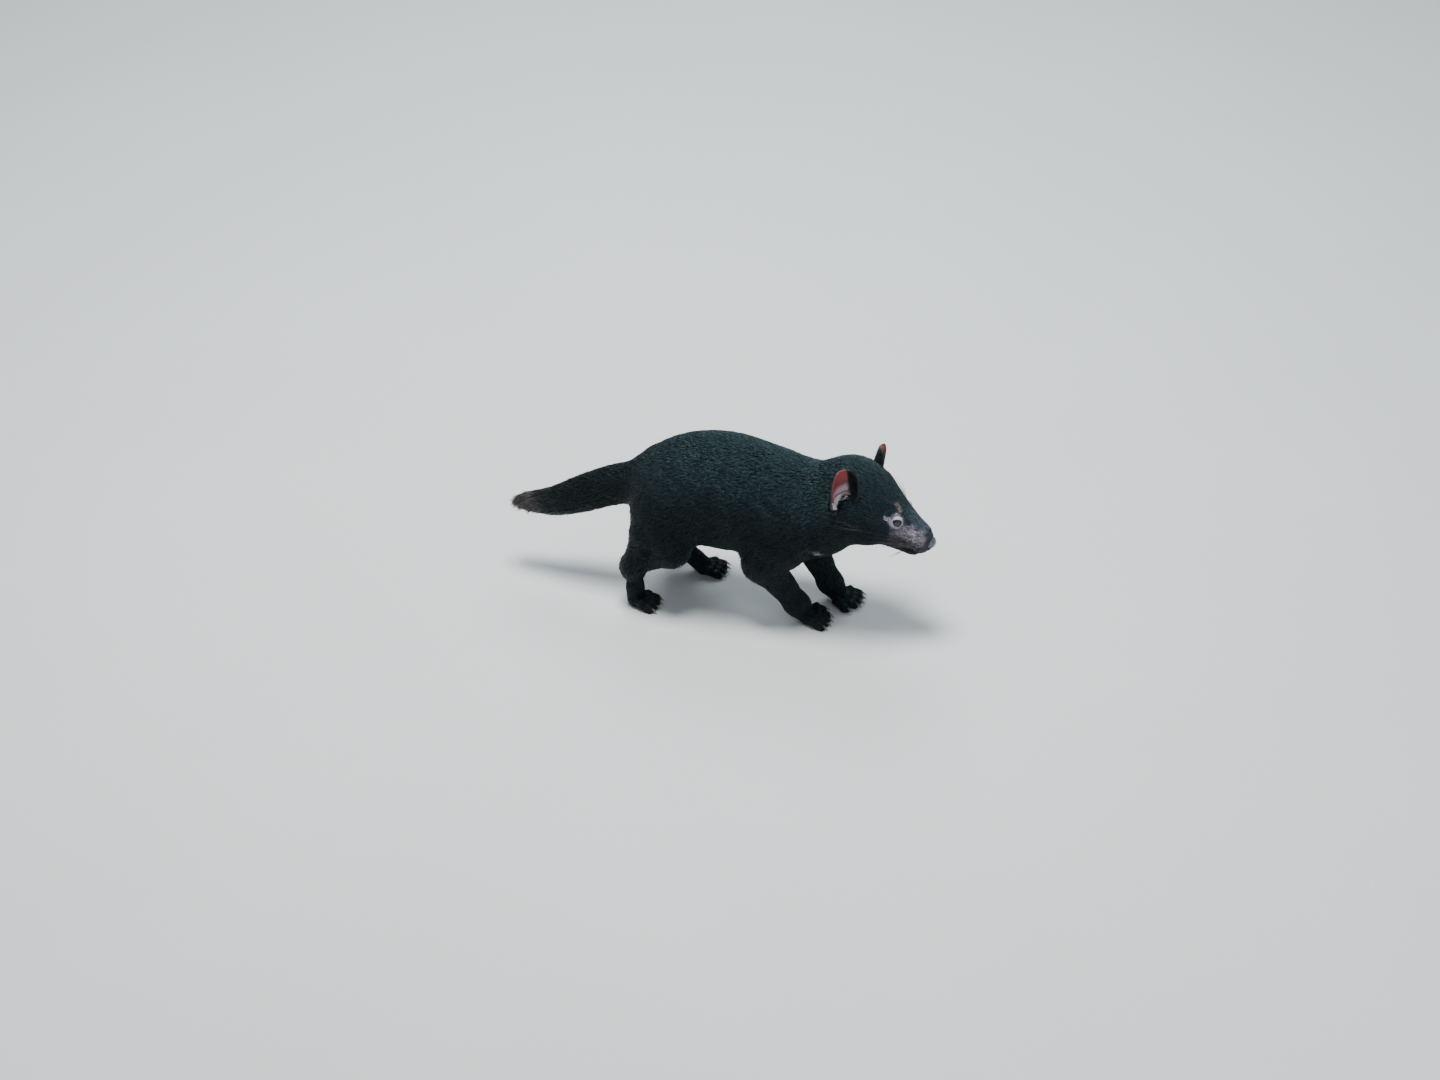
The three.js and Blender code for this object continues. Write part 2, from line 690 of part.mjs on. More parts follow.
// The lids: a ring round the opening, wider than it is high.
function lidRing(side) {
  const outward = v(EYE_LOOKS.x, side * EYE_LOOKS.y, EYE_LOOKS.z).normalize();
  const turn = new THREE.Quaternion().setFromRotationMatrix(
    new THREE.Matrix4().lookAt(outward, v(0, 0, 0), v(0.3, 0, 1)),
  );
  const ring = new THREE.TorusGeometry(LID_RADIUS, LID_THICKNESS, 5, 16);
  const place = new THREE.Matrix4().compose(
    v(EYE_AT.x, side * EYE_AT.y, EYE_AT.z).addScaledVector(outward, 2.6),
    turn,
    v(1.12, 0.86, 1),
  );
  return solidOf(ring, headFrame.clone().multiply(place));
}

function addHead() {
  let skull = region(v(128, -85, 70), v(305, 85, 262), CELLS.head).intersect(
    outside(CUTS.head),
  );
  const nosePlace = v(NOSE_AT.x, 0, NOSE_AT.z).applyMatrix4(headFrame);
  const noseTurn = new THREE.Matrix4().extractRotation(headFrame);
  const pad = (grow) =>
    solidOf(
      new THREE.SphereGeometry(1, 14, 8).scale(
        NOSE_RADII.x + grow,
        NOSE_RADII.y + grow,
        NOSE_RADII.z + grow,
      ),
      new THREE.Matrix4().makeTranslation(nosePlace).multiply(noseTurn),
    );
  skull = skull.subtract(mouthCutter());
  let nose = pad(0);
  for (const side of [1, -1]) {
    const name = side > 0 ? "left" : "right";
    const ear = earSolid(side);
    const eye = (grow) => solidOf(
      new THREE.SphereGeometry(EYE_RADIUS + grow, 14, 8),
      new THREE.Matrix4().makeTranslation(eyeAt(side)),
    );
    skull = skull.add(lidRing(side)).subtract(eye(GAP));
    addNode(`eye_${name}`, eye(0), "eye");
    const socket = solidOf(
      meshOf((x, y, z) => body(x, y, z) - GAP, v(128, -85, 70), v(305, 85, 262), CELLS.head),
    );
    addNode(`ear_${name}`, ear.subtract(socket), "ear");
    const nostril = [v(120, side * 4, -11), v(117, side * 7, -12.5), v(112, side * 11.5, -14)].map(
      (p) => p.applyMatrix4(headFrame),
    );
    nose = nose.subtract(tube(nostril, (t) => 2.4 - 1.5 * t, 6, 3));
  }
  addNode("nose", nose, "nose");
  addNode("head", skull.subtract(pad(GAP)), "coat");
}

addTrunk();
addTail();
limbNames.forEach(addLeg);
addHead();

// The origin is on the floor, under the middle of the whole animal.
const box = new THREE.Box3().setFromObject(devil);
const middle = box.getCenter(v());
devil.position.set(-middle.x, -middle.y, 0);

export default devil;
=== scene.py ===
"""A still, life-size model of a young Tasmanian devil walking on all fours, dressed over its CAD part."""

import logging
import math
from dataclasses import dataclass, field
from enum import Enum
from typing import Any, Callable, Sequence

import bpy
import numpy as np
from mathutils import Euler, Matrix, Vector


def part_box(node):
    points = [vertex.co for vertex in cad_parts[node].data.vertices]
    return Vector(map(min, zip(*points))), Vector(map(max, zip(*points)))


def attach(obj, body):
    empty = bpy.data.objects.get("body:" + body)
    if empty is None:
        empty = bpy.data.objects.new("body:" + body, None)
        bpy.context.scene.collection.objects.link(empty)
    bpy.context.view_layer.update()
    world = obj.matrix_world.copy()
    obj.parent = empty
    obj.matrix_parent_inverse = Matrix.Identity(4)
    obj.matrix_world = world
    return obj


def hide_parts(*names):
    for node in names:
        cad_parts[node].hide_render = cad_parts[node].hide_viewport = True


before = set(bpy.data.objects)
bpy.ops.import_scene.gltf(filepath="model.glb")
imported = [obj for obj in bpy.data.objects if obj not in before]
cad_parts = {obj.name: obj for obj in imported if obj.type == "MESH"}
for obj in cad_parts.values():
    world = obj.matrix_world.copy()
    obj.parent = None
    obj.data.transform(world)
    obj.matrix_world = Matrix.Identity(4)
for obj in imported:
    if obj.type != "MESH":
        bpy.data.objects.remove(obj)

log = logging.getLogger("devil")
Array = np.ndarray
Distance = Callable[[Array], Array]

MM = 0.001  # the sizes below are in millimetres
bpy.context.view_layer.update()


def point(x: float, y: float, z: float) -> Array:
    """Returns a place or direction in millimetres."""
    return np.array([x, y, z], float)


# Sizes of the animal. They are the CAD part's own.

TRUNK_NARROWNESS = 0.86
TRUNK = [
    (point(-74, 0, 159), 69.0),
    (point(-42, 0, 165), 79.0),
    (point(-8, 0, 167), 82.0),
    (point(30, 0, 163), 79.0),
    (point(66, 0, 158), 75.0),
    (point(96, 0, 154), 67.0),
]
NECK = [(point(124, 0, 162), 59.0), (point(156, -2, 178), 54.0)]
TAIL = [
    (point(-122, 0, 164), 31.0),
    (point(-165, 0, 150), 28.5),
    (point(-205, 0, 131), 26.5),
    (point(-244, 1, 113), 21.5),
    (point(-282, 3, 104), 15.0),
    (point(-296, 4, 102), 10.0),
]
LINKS_PER_STATION = 5
MUSCLE_FILLET = 14.0
HEAD_PARTS_FILLET = 12.0
BODY_FILLET = 20.0
NECK_FILLET = 22.0
HEAD_FILLET = 24.0
TAIL_FILLET = 16.0
EAR_FILLET = 5.0
TOE_RADIUS = 5.2
TOE_PITCH = 7.6
TOE_FAN = 5.0  # degrees between one toe and the next
TOE_REACH = 27.0
OUTER_TOE_DROP = 2.2  # how much shorter each toe is for a step away from the middle
INNER_TOE_REACH = 17.0
INNER_TOE_FAN = 24.0
INNER_TOE_STEP = 2.3
CLAW_LENGTH = 12.0
CLAW_RADIUS = 2.0
EYE_RADIUS = 6.2
EYE_AT = point(61.5, 23.5, 3.5)
EYE_LOOKS = point(0.52, 0.79, 0.32)
NOSE_AT = point(111.5, 0, -11)
NOSE_RADII = point(9, 10, 8.5)
EAR_WIDTH = 38.0
EAR_THICKNESS = 3.0
EAR_ROLL_AT_ROOT = 84.0  # degrees to each side
EAR_ROLL_AT_TIP = 50.0
FAR_AWAY = 1e3


class Side(Enum):
    """The animal's own left and right."""

    LEFT = 1
    RIGHT = -1


@dataclass(frozen=True)
class LegPose:
    """One leg's joints in this stride."""

    name: str
    side: Side
    fore: bool
    hip: Array
    middle: Array
    ankle: Array
    ball: Array
    turn_out: float


LEGS = [
    LegPose("hind_right", Side.RIGHT, False, point(-84, -36, 146), point(-70, -50, 98),
            point(-124, -48, 60), point(-121, -48.5, 9.8), -6),
    LegPose("hind_left", Side.LEFT, False, point(-82, 36, 146), point(-44, 50, 94),
            point(-92, 50, 42), point(-55, 50, 9.8), 8),
    LegPose("fore_right", Side.RIGHT, True, point(76, -38, 142), point(52, -42, 92),
            point(96, -32, 27), point(109, -30, 9.4), -4),
    LegPose("fore_left", Side.LEFT, True, point(84, 38, 142), point(90, 36, 92),
            point(127, 30, 27), point(139, 29, 9.4), 4),
]


@dataclass(frozen=True)
class HeadFrame:
    """The head's own frame: x to the nose, y to the left, z up, with its origin between the ears."""

    origin: Array = field(default_factory=lambda: point(172, -3, 197))
    pitch: float = -24.0
    yaw: float = -6.0
    roll: float = -4.0

    def turn(self) -> Array:
        """Returns the rotation from the head's frame to the body's."""
        angles = [math.radians(a) for a in (self.roll, -self.pitch, self.yaw)]
        return np.array(Euler(angles, "XYZ").to_matrix())

    def inward(self, p: Array) -> Array:
        """Takes places of the body's frame into the head's."""
        return (p - self.origin) @ self.turn()

    def outward(self, p: Array) -> Array:
        """Takes places of the head's frame into the body's."""
        return p @ self.turn().T + self.origin


HEAD = HeadFrame()


def folded(q: Array) -> Array:
    """Folds places of the head's frame onto its left side."""
    return np.abs(q * point(0, 1, 0)) + q * point(1, 0, 1)


# Fields: signed distances in millimetres, negative inside.


def smooth_step(low: float, high: float, x: Array) -> Array:
    """Rises from 0 at low to 1 at high, or falls where low is the larger."""
    t = np.clip((x - low) / (high - low), 0, 1)
    return t * t * (3 - 2 * t)


def bump(x: Array, width: float) -> Array:
    """A smooth hill of height 1 and the given half width round 0."""
    return np.exp(-((x / width) ** 2))


def blend(a: Array, b: Array, k: float) -> Array:
    """Joins two fields with a smooth fillet of size k."""
    h = np.maximum(k - np.abs(a - b), 0) / k
    return np.minimum(a, b) - h * h * k / 4


def carve(a: Array, b: Array, k: float) -> Array:
    """Cuts field b out of field a with a smooth edge of size k."""
    return -blend(-a, b, k)


def round_cone(p: Array, a: Array, ra: float, b: Array, rb: float) -> Array:
    """The distance to a ball rolled from a to b while its radius changes from ra to rb.

    Args:
        p: Places in millimetres of the body's frame.
        a: The first centre.
        ra: The radius there.
        b: The second centre.
        rb: The radius there.

    Returns:
        The signed distance of each place.
    """
    axis = b - a
    l2 = float(axis @ axis)
    rr = ra - rb
    a2 = l2 - rr * rr
    q = p - a
    along = q @ axis
    past = along - l2
    x2 = ((q * l2 - axis * along[:, None]) ** 2).sum(1)
    y2 = along * along * l2
    z2 = past * past * l2
    k = np.sign(rr) * rr * rr * x2
    result = (np.sqrt(x2 * a2 / l2) + along * rr) / l2 - ra
    result = np.where(np.sign(along) * a2 * y2 < k, np.sqrt(x2 + y2) / l2 - ra, result)
    return np.where(np.sign(past) * a2 * z2 > k, np.sqrt(x2 + z2) / l2 - rb, result)


def egg(p: Array, centre: Array, radii: Array, pitch: float = 0.0) -> Array:
    """The distance, nearly, to an ellipsoid whose long axis may be pitched, in degrees, nose down.

    Args:
        p: Places in millimetres.
        centre: The middle.
        radii: The half axes.
        pitch: The pitch in degrees.

    Returns:
        The signed distance of each place, nearly.
    """
    c, s = math.cos(math.radians(pitch)), math.sin(math.radians(pitch))
    dx, dy, dz = (p - centre).T
    q = np.stack([dx * c - dz * s, dy, dx * s + dz * c], 1) / radii
    k0 = np.linalg.norm(q, axis=1)
    k1 = np.linalg.norm(q / radii, axis=1)
    return np.where(k1 < 1e-9, -float(min(radii)), k0 * (k0 - 1) / np.maximum(k1, 1e-9))


def spline(points: Sequence[Array], steps: int) -> Array:
    """Returns places along a smooth curve through points.

    Args:
        points: What the curve passes through.
        steps: How many places are returned.

    Returns:
        The places, first to last.
    """
    p = np.array([2 * points[0] - points[1], *points, 2 * points[-1] - points[-2]])
    t = np.linspace(0, len(points) - 1, steps)
    i = np.minimum(t.astype(int), len(points) - 2)
    f = (t - i)[:, None]
    a, b, c, e = p[i], p[i + 1], p[i + 2], p[i + 3]
    return 0.5 * (2 * b + (c - a) * f + (2 * a - 5 * b + 4 * c - e) * f**2 + (3 * b - a - 3 * c + e) * f**3)


def chain(p: Array, stations: Sequence[tuple[Array, float]], squeeze: float = 1.0) -> Array:
    """A smooth limbless form through stations, squeezed sideways by a factor.

    Args:
        p: Places in millimetres of the body's frame.
        stations: Centres and radii, in order.
        squeeze: The width over the height.

    Returns:
        The distance of each place, nearly.
    """
    q = p / point(1, squeeze, 1)
    knots = [np.append(place, radius) for place, radius in stations]
    line = spline(knots, LINKS_PER_STATION * (len(stations) - 1) + 1)
    d = np.full(len(p), FAR_AWAY)
    for a, b in zip(line, line[1:]):
        d = np.minimum(d, round_cone(q, a[:3], a[3], b[:3], b[3]))
    return d


def along_line(p: Array, points: Sequence[Array]) -> Array:
    """The distance from each place to a bent line.

    Args:
        p: Places in millimetres.
        points: The line's corners, in order.

    Returns:
        The distance of each place.
    """
    best = np.full(len(p), FAR_AWAY)
    for a, b in zip(points, points[1:]):
        ab = b - a
        t = np.clip((p - a) @ ab / (ab @ ab), 0, 1)
        best = np.minimum(best, np.linalg.norm(p - a - t[:, None] * ab, axis=1))
    return best


def near(p: Array, low: Array, high: Array) -> Array:
    """True where a place lies in a box."""
    return np.all((p > low) & (p < high), axis=1)


@dataclass(frozen=True)
class Toe:
    """A toe's bones and its claw's curve."""

    path: list[Array]
    claw: list[Array]


def toes_of(leg: LegPose) -> list[Toe]:
    """Fans a paw's toes out from its ball. The fore paws have a fifth, on the inner side.

    Args:
        leg: The leg that the paw belongs to.

    Returns:
        The toes, with the inner one last.
    """
    side = leg.side.value
    plan = [
        (step * TOE_PITCH, step * TOE_FAN + leg.turn_out, TOE_REACH - OUTER_TOE_DROP * abs(step))
        for step in (-1.5, -0.5, 0.5, 1.5)
    ]
    if leg.fore:
        plan.append((-side * INNER_TOE_STEP * TOE_PITCH, -side * INNER_TOE_FAN, INNER_TOE_REACH))
    toes = []
    for across, fan, reach in plan:
        ahead = point(math.cos(math.radians(fan)), math.sin(math.radians(fan)), 0)

        def at(along: float, height: float) -> Array:
            """Returns a place on the toe's line."""
            place = leg.ball + point(0, across, 0) + ahead * along
            return point(place[0], place[1], height)

        path = [
            leg.ball + point(0, across * 0.8, -1),
            at(reach * 0.5, 8.6),
            at(reach * 0.8, 5.6),
            at(reach, 4.2),
        ]
        claw = [
            at(reach - 4, 5.6),
            at(reach + CLAW_LENGTH * 0.4, 6.1),
            at(reach + CLAW_LENGTH * 0.75, 3.5),
            at(reach + CLAW_LENGTH, 1.3),
        ]
        toes.append(Toe(path, claw))
    return toes


@dataclass(frozen=True)
class EarShape:
    """A cupped ear: a curved sheet, rolled tighter at its root."""

    side: Side
    at: Array
    length: float
    points: Array
    faces: Array
    thickness: float = 2.2

    def axes(self) -> tuple[Array, Array, Array, Array]:
        """Returns the root, and the directions up the ear, across it and out of its hollow."""
        root = HEAD.outward(self.at)
        up = self.points / np.linalg.norm(self.points)
        across = np.cross(up, self.faces)
        across /= np.linalg.norm(across)
        return root, up, across, np.cross(across, up)

    def local(self, p: Array) -> tuple[Array, Array, Array]:
        """Returns how far up the ear, across it and out of its hollow each place is."""
        root, up, across, hollow = self.axes()
        q = p - root
        return q @ up / self.length, q @ across, q @ hollow

    def sheet(self, p: Array) -> tuple[Array, Array, Array, Array]:
        """Returns the share up the ear, the angle round it, the roll there and the distance off the sheet.

        Args:
            p: Places in millimetres of the body's frame.

        Returns:
            The share, angle, roll and distance of each place.
        """
        t, x, h = self.local(p)
        tc = np.clip(t, 0, 1)
        half = 0.5 * EAR_WIDTH * np.sqrt(np.maximum(0.12, 1 - (np.abs(tc - 0.48) / 0.54) ** 2.8))
        roll = np.radians(EAR_ROLL_AT_ROOT - (EAR_ROLL_AT_ROOT - EAR_ROLL_AT_TIP) * tc)
        r = half / np.sin(roll)
        rho = np.hypot(x, r - h)
        off = rho - (r + EAR_THICKNESS / 2)
        return t, np.arctan2(x, r - h), roll, off

    def distance(self, p: Array) -> Array:
        """Returns the distance to the ear's skin.

        Args:
            p: Places in millimetres of the body's frame.

        Returns:
            The signed distance of each place.
        """
        t, angle, roll, off = self.sheet(p)
        rho = 0.5 * EAR_WIDTH
        edge = (np.abs(angle) - roll) * rho + 1.6
        top = (t - 0.985) * self.length + 1.6
        rim = np.maximum(edge, top)
        front = -self.side.value * angle
        half = self.thickness / 2 + 0.5 * bump(rim + 1.0, 2.0) + 3.0 * smooth_step(0.42, 0.1, t)
        lobe = 3.4 * bump(front - 0.55, 0.22) * bump(t - 0.24, 0.10)
        long_fold = smooth_step(0.75, 0.55, t) * smooth_step(0.12, 0.2, t)
        folds = 0.9 * bump(front + 0.25 - 0.5 * t, 0.10) * long_fold
        cross_fold = smooth_step(0.9, 0.6, np.abs(angle) / roll)
        folds = folds + 0.8 * bump(t - 0.36 - 0.12 * front, 0.035) * cross_fold
        inner = np.where(off < 0, lobe + folds, 0)
        soft = 1.0
        d = np.hypot(np.maximum(rim, 0), np.maximum(np.abs(off) - half - inner + soft, 0)) - soft
        return np.maximum(d, (0.02 - t) * self.length)


EARS = [
    EarShape(Side.LEFT, point(2, 42, -7), 58.0, point(0.28, 0.06, 0.96), point(0.96, 0.12, -0.1)),
    EarShape(Side.RIGHT, point(-12, -44, -4), 59.0, point(0.07, -0.17, 0.98), point(0.66, -0.74, -0.1)),
]


@dataclass(frozen=True)
class LegFlesh:
    """The flesh of a fore or hind leg: offsets from the left hip or shoulder, and radii at both ends."""

    muscle_at: Array
    muscle_radii: Array
    muscle_tilt: float
    bone_at: Array
    upper: tuple[float, float]
    lower: tuple[float, float]
    foot: tuple[float, float]
    strand_at: Array | None = None
    strand: tuple[float, float] = (0.0, 0.0)


FORE_FLESH = LegFlesh(
    point(0, 2, -4), point(38, 26, 54), -8, point(-6, 4, -22), (30, 27), (26, 14.5), (14, 11.5)
)
HIND_FLESH = LegFlesh(
    point(4, 4, -10), point(46, 29, 56), 12, point(-6, 2, -8), (34, 25), (24, 13.5), (13, 12),
    point(-24, 12, -34), (21, 14),
)


def leg_flesh(p: Array, leg: LegPose) -> Array:
    """Flesh of a leg down to its ball.

    Args:
        p: Places in millimetres of the body's frame.
        leg: The leg.

    Returns:
        The signed distance of each place.
    """
    flesh = FORE_FLESH if leg.fore else HIND_FLESH
    sided = point(1, leg.side.value, 1)
    parts = [
        egg(p, leg.hip + flesh.muscle_at * sided, flesh.muscle_radii, flesh.muscle_tilt),
        round_cone(p, leg.hip + flesh.bone_at * sided, flesh.upper[0], leg.middle, flesh.upper[1]),
        round_cone(p, leg.middle, flesh.lower[0], leg.ankle, flesh.lower[1]),
        round_cone(p, leg.ankle, flesh.foot[0], leg.ball, flesh.foot[1]),
    ]
    if flesh.strand_at is not None:
        strand_root = leg.hip + flesh.strand_at * sided
        parts.append(round_cone(p, strand_root, flesh.strand[0], leg.ankle, flesh.strand[1]))
    d = np.full(len(p), FAR_AWAY)
    for part in parts:
        d = blend(d, part, MUSCLE_FILLET)
    return d


def head_flesh(q: Array) -> Array:
    """The head's outer form, in its own frame.

    Args:
        q: Places in millimetres of the head's frame.

    Returns:
        The signed distance of each place.
    """
    mirrored = folded(q)
    d = egg(q, point(2, 0, -4), point(56, 50, 44))
    for part in (
        egg(mirrored, point(26, 24, -19), point(38, 26, 30)),
        round_cone(q, point(44, 0, -8), 33, point(96, 0, -15), 18.5),
        round_cone(q, point(20, 0, -28), 29, point(92, 0, -28), 13),
        round_cone(q, point(94, 0, -15), 17.5, point(104, 0, -15), 12.5),
    ):
        d = blend(d, part, HEAD_PARTS_FILLET)
    return d


def outer_form(p: Array) -> Array:
    """The animal's form out to the tips of its coat, as the CAD part has it.

    Args:
        p: Places in millimetres of the body's frame.

    Returns:
        The signed distance of each place.
    """
    d = chain(p, TRUNK, TRUNK_NARROWNESS)
    for leg in LEGS:
        d = blend(d, leg_flesh(p, leg), BODY_FILLET)
    d = blend(d, chain(p, NECK), NECK_FILLET)
    d = blend(d, head_flesh(HEAD.inward(p)), HEAD_FILLET)
    return blend(d, chain(p, TAIL), TAIL_FILLET)


def coat_depth(p: Array) -> Array:
    """How far the skin lies under the coat's tips at each place.

    Args:
        p: Places in millimetres of the body's frame.

    Returns:
        The depths in millimetres.
    """
    q = HEAD.inward(p)
    body = 4.6 - 1.7 * smooth_step(100, 40, p[:, 2])
    body = body + 1.2 * smooth_step(-120, -200, p[:, 0])
    feet = 0.5 + (body - 0.5) * smooth_step(14, 44, p[:, 2])
    feet = np.where(p[:, 0] < -140, body, feet)
    to_face = smooth_step(0, 70, q[:, 0]) * smooth_step(90, 105, p[:, 2])
    return feet * (1 - to_face) + 0.9 * to_face


@dataclass(frozen=True)
class Crease:
    """A soft valley in the flesh along a bent line."""

    points: list[Array]
    depth: float
    width: float

    def fall(self, p: Array) -> Array:
        """Returns how much the surface sinks at each place."""
        return self.depth * bump(along_line(p, self.points), self.width)


CREASES = [
    crease
    for s in (-1, 1)
    for crease in (
        Crease([point(26, s * 66, 200), point(32, s * 68, 150), point(34, s * 62, 112)], 4.2, 15),
        Crease([point(-26, s * 70, 190), point(-22, s * 72, 140), point(-30, s * 62, 100)], 4.6, 20),
        Crease([point(112, s * 50, 206), point(118, s * 58, 160), point(120, s * 46, 118)], 3.2, 12),
        Crease([point(-60, s * 66, 104), point(-96, s * 58, 96)], 2.2, 9),
        Crease([point(60, s * 60, 190), point(88, s * 56, 168)], 1.6, 10),
    )
]


def mouth_height(x: Array) -> Array:
    """The height of the line of the mouth in the head's frame, along the muzzle."""
    return np.interp(x, [50, 54, 72, 92, 125], [-23.5, -25, -27.5, -26, -21])


def eye_local(q: Array) -> tuple[Array, Array, Array]:
    """Places by an eye, on either side: ahead to the front corner, up, and out along its gaze.

    Args:
        q: Places in millimetres of the head's frame.

    Returns:
        The three lengths of each place from the eye's centre.
    """
    m = folded(q) - EYE_AT
    out = EYE_LOOKS / np.linalg.norm(EYE_LOOKS)
    ahead = np.cross(point(0.06, 0, 1), out) * -1
    ahead = ahead / np.linalg.norm(ahead)
    ahead = ahead if ahead[0] > 0 else -ahead
    up = np.cross(ahead, out)
    up = up if up[2] > 0 else -up
    return m @ ahead, m @ up, m @ out


def head_relief(p: Array, d: Array) -> Array:
    """Adds the lids, sockets, lips and folds of the face to a field.

    Args:
        p: Places in millimetres of the body's frame.
        d: The field there.

    Returns:
        The field with the face.
    """
    q = HEAD.inward(p)
    m = folded(q)
    u, w, o = eye_local(q)
    from_eye = np.linalg.norm(m - EYE_AT, axis=1)
    d = d + 1.6 * bump(from_eye - 4, 9) * (o < 14) * smooth_step(30, 12, from_eye)
    d = blend(d, from_eye - (EYE_RADIUS + 1.15), 3.0)
    ring = np.hypot(u, w * 1.15)
    d = d + 0.5 * bump(ring - 9.6, 1.0) * smooth_step(16, 10, from_eye)
    d = d - 0.5 * bump(ring - 11.4, 1.4) * smooth_step(18, 10, from_eye)
    opening = (np.hypot(u / 6.3, (w - 0.2) / 4.5) - 1) * 4.5
    opening = np.maximum(opening, 1.5 - o)
    d = carve(d, opening, 0.9)
    d = np.maximum(d, EYE_RADIUS + 0.12 - from_eye)
    line = mouth_height(q[:, 0])
    off = q[:, 2] - line
    on = smooth_step(50, 62, q[:, 0])
    d = d + on * (1.7 * bump(off, 1.15) - 0.7 * bump(off - 3.6, 2.6) - 0.35 * bump(off + 3.0, 2.0))
    brow = along_line(m, [point(48, 26, 12), point(60, 24, 14), point(72, 19, 9)])
    d = d - 0.9 * bump(brow, 5)
    cheek = along_line(m, [point(52, 38, -6), point(64, 30, -14), point(84, 20, -14)])
    d = d + 0.9 * bump(cheek, 6)
    pads = along_line(m, [point(84, 16, -18), point(102, 11, -18)])
    d = d - 0.8 * bump(pads, 6)
    bridge = along_line(q, [point(60, 0, 22), point(92, 0, 4), point(104, 0, -2)])
    d = d + 0.6 * bump(bridge, 3.5) - 0.5 * bump(bridge - 8, 4)
    nose = egg(q, NOSE_AT, NOSE_RADII + 0.25)
    return np.maximum(d, -nose)


def paw_relief(p: Array, leg: LegPose, d: Array) -> Array:
    """Adds a paw's toes and pads to a field.

    Args:
        p: Places in millimetres of the body's frame.
        leg: The leg that the paw belongs to.
        d: The field there.

    Returns:
        The field with the paw.
    """
    skin = 0.25
    toes = toes_of(leg)
    for toe in toes:
        each = np.full(len(p), FAR_AWAY)
        for a, b in zip(toe.path, toe.path[1:]):
            each = blend(each, round_cone(p, a, TOE_RADIUS - skin, b, TOE_RADIUS - skin), 1.5)
        knuckle = along_line(p, [toe.path[1], toe.path[1] + point(0, 0, 3)])
        dip = np.linalg.norm(p - toe.path[2] - point(0, 0, 5), axis=1)
        each = each - 0.5 * bump(knuckle, 3.5) + 0.5 * bump(dip, 2.5)
        pad = egg(p, toe.path[3] + point(-1.5, 0, -2.2), point(5.4, 4.2, 3.0))
        each = blend(each, pad, 1.2)
        d = blend(d, each, 3.2)
        socket = along_line(p, [toe.claw[0], toe.claw[1]]) - (CLAW_RADIUS + 0.9)
        d = blend(d, np.maximum(socket, p[:, 0] - toe.claw[1][0] + 3.2), 1.2)
    pad = egg(p, point(leg.ball[0] + 4, leg.ball[1], 3.1), point(10.8, 11.8, 4.4))
    return blend(d, pad, 2.0)


def skin_form(p: Array) -> Array:
    """The skin's field: the outer form less the coat, with its creases, face, ears and toes.

    Args:
        p: Places in millimetres of the body's frame.

    Returns:
        The signed distance of each place, nearly.
    """
    d = outer_form(p) + coat_depth(p)
    for crease in CREASES:
        d = d + crease.fall(p)
    part = near(p, point(140, -110, 90), point(320, 110, 290))
    d[part] = head_relief(p[part], d[part])
    for ear in EARS:
        root = ear.axes()[0]
        part = near(p, root - 60, root + 90)
        d[part] = blend(d[part], ear.distance(p[part]), EAR_FILLET)
    for leg in LEGS:
        part = near(p, leg.ball - point(30, 34, 30), leg.ball + point(50, 34, 22))
        d[part] = paw_relief(p[part], leg, d[part])
    return np.maximum(d, -p[:, 2])


def nose_form(q: Array) -> Array:
    """The nose pad's field in the head's frame: a soft pad with two nostrils and a groove.

    Args:
        q: Places in millimetres of the head's frame.

    Returns:
        The signed distance of each place, nearly.
    """
    d = egg(q, NOSE_AT, NOSE_RADII - 0.1)
    m = folded(q)
    nostril = along_line(m, [point(121, 4.2, -11.2), point(117.5, 7.2, -12.4), point(112.5, 11.5, -14.4)])
    taper = 2.5 - 1.3 * smooth_step(3, 11, m[:, 1])
    d = carve(d, nostril - taper, 1.4)
    d = d + 0.9 * bump(q[:, 1], 0.7) * smooth_step(-8, -12, q[:, 2])
    return d + 0.5 * bump(q[:, 1], 3) * smooth_step(-8, -3, q[:, 2])


# Meshes from fields.


@dataclass
class Surface:
    """A closed mesh of four-sided faces in millimetres."""

    points: Array
    faces: Array

    def normals(self) -> Array:
        """Returns each point's normal, from the faces round it."""
        a, b, c, e = (self.points[self.faces[:, i]] for i in range(4))
        n = np.cross(c - a, e - b)
        out = np.zeros_like(self.points)
        for i in range(4):
            np.add.at(out, self.faces[:, i], n)
        return out / np.maximum(np.linalg.norm(out, axis=1, keepdims=True), 1e-12)


def evaluated(form: Distance, p: Array, block: int = 150_000) -> Array:
    """Evaluates a field in blocks, to keep memory small.

    Args:
        form: The field.
        p: Places in millimetres.
        block: How many are taken at once.

    Returns:
        The field's value at each place.
    """
    if not len(p):
        return np.zeros(0)
    return np.concatenate([form(p[i : i + block]) for i in range(0, len(p), block)])


def spaced(*runs: tuple[float, float, float]) -> Array:
    """Returns a row of grid lines from runs of (start, end, step)."""
    rows = [np.linspace(a, b, int(round((b - a) / step)), endpoint=False) for a, b, step in runs]
    return np.append(np.concatenate(rows), runs[-1][1])


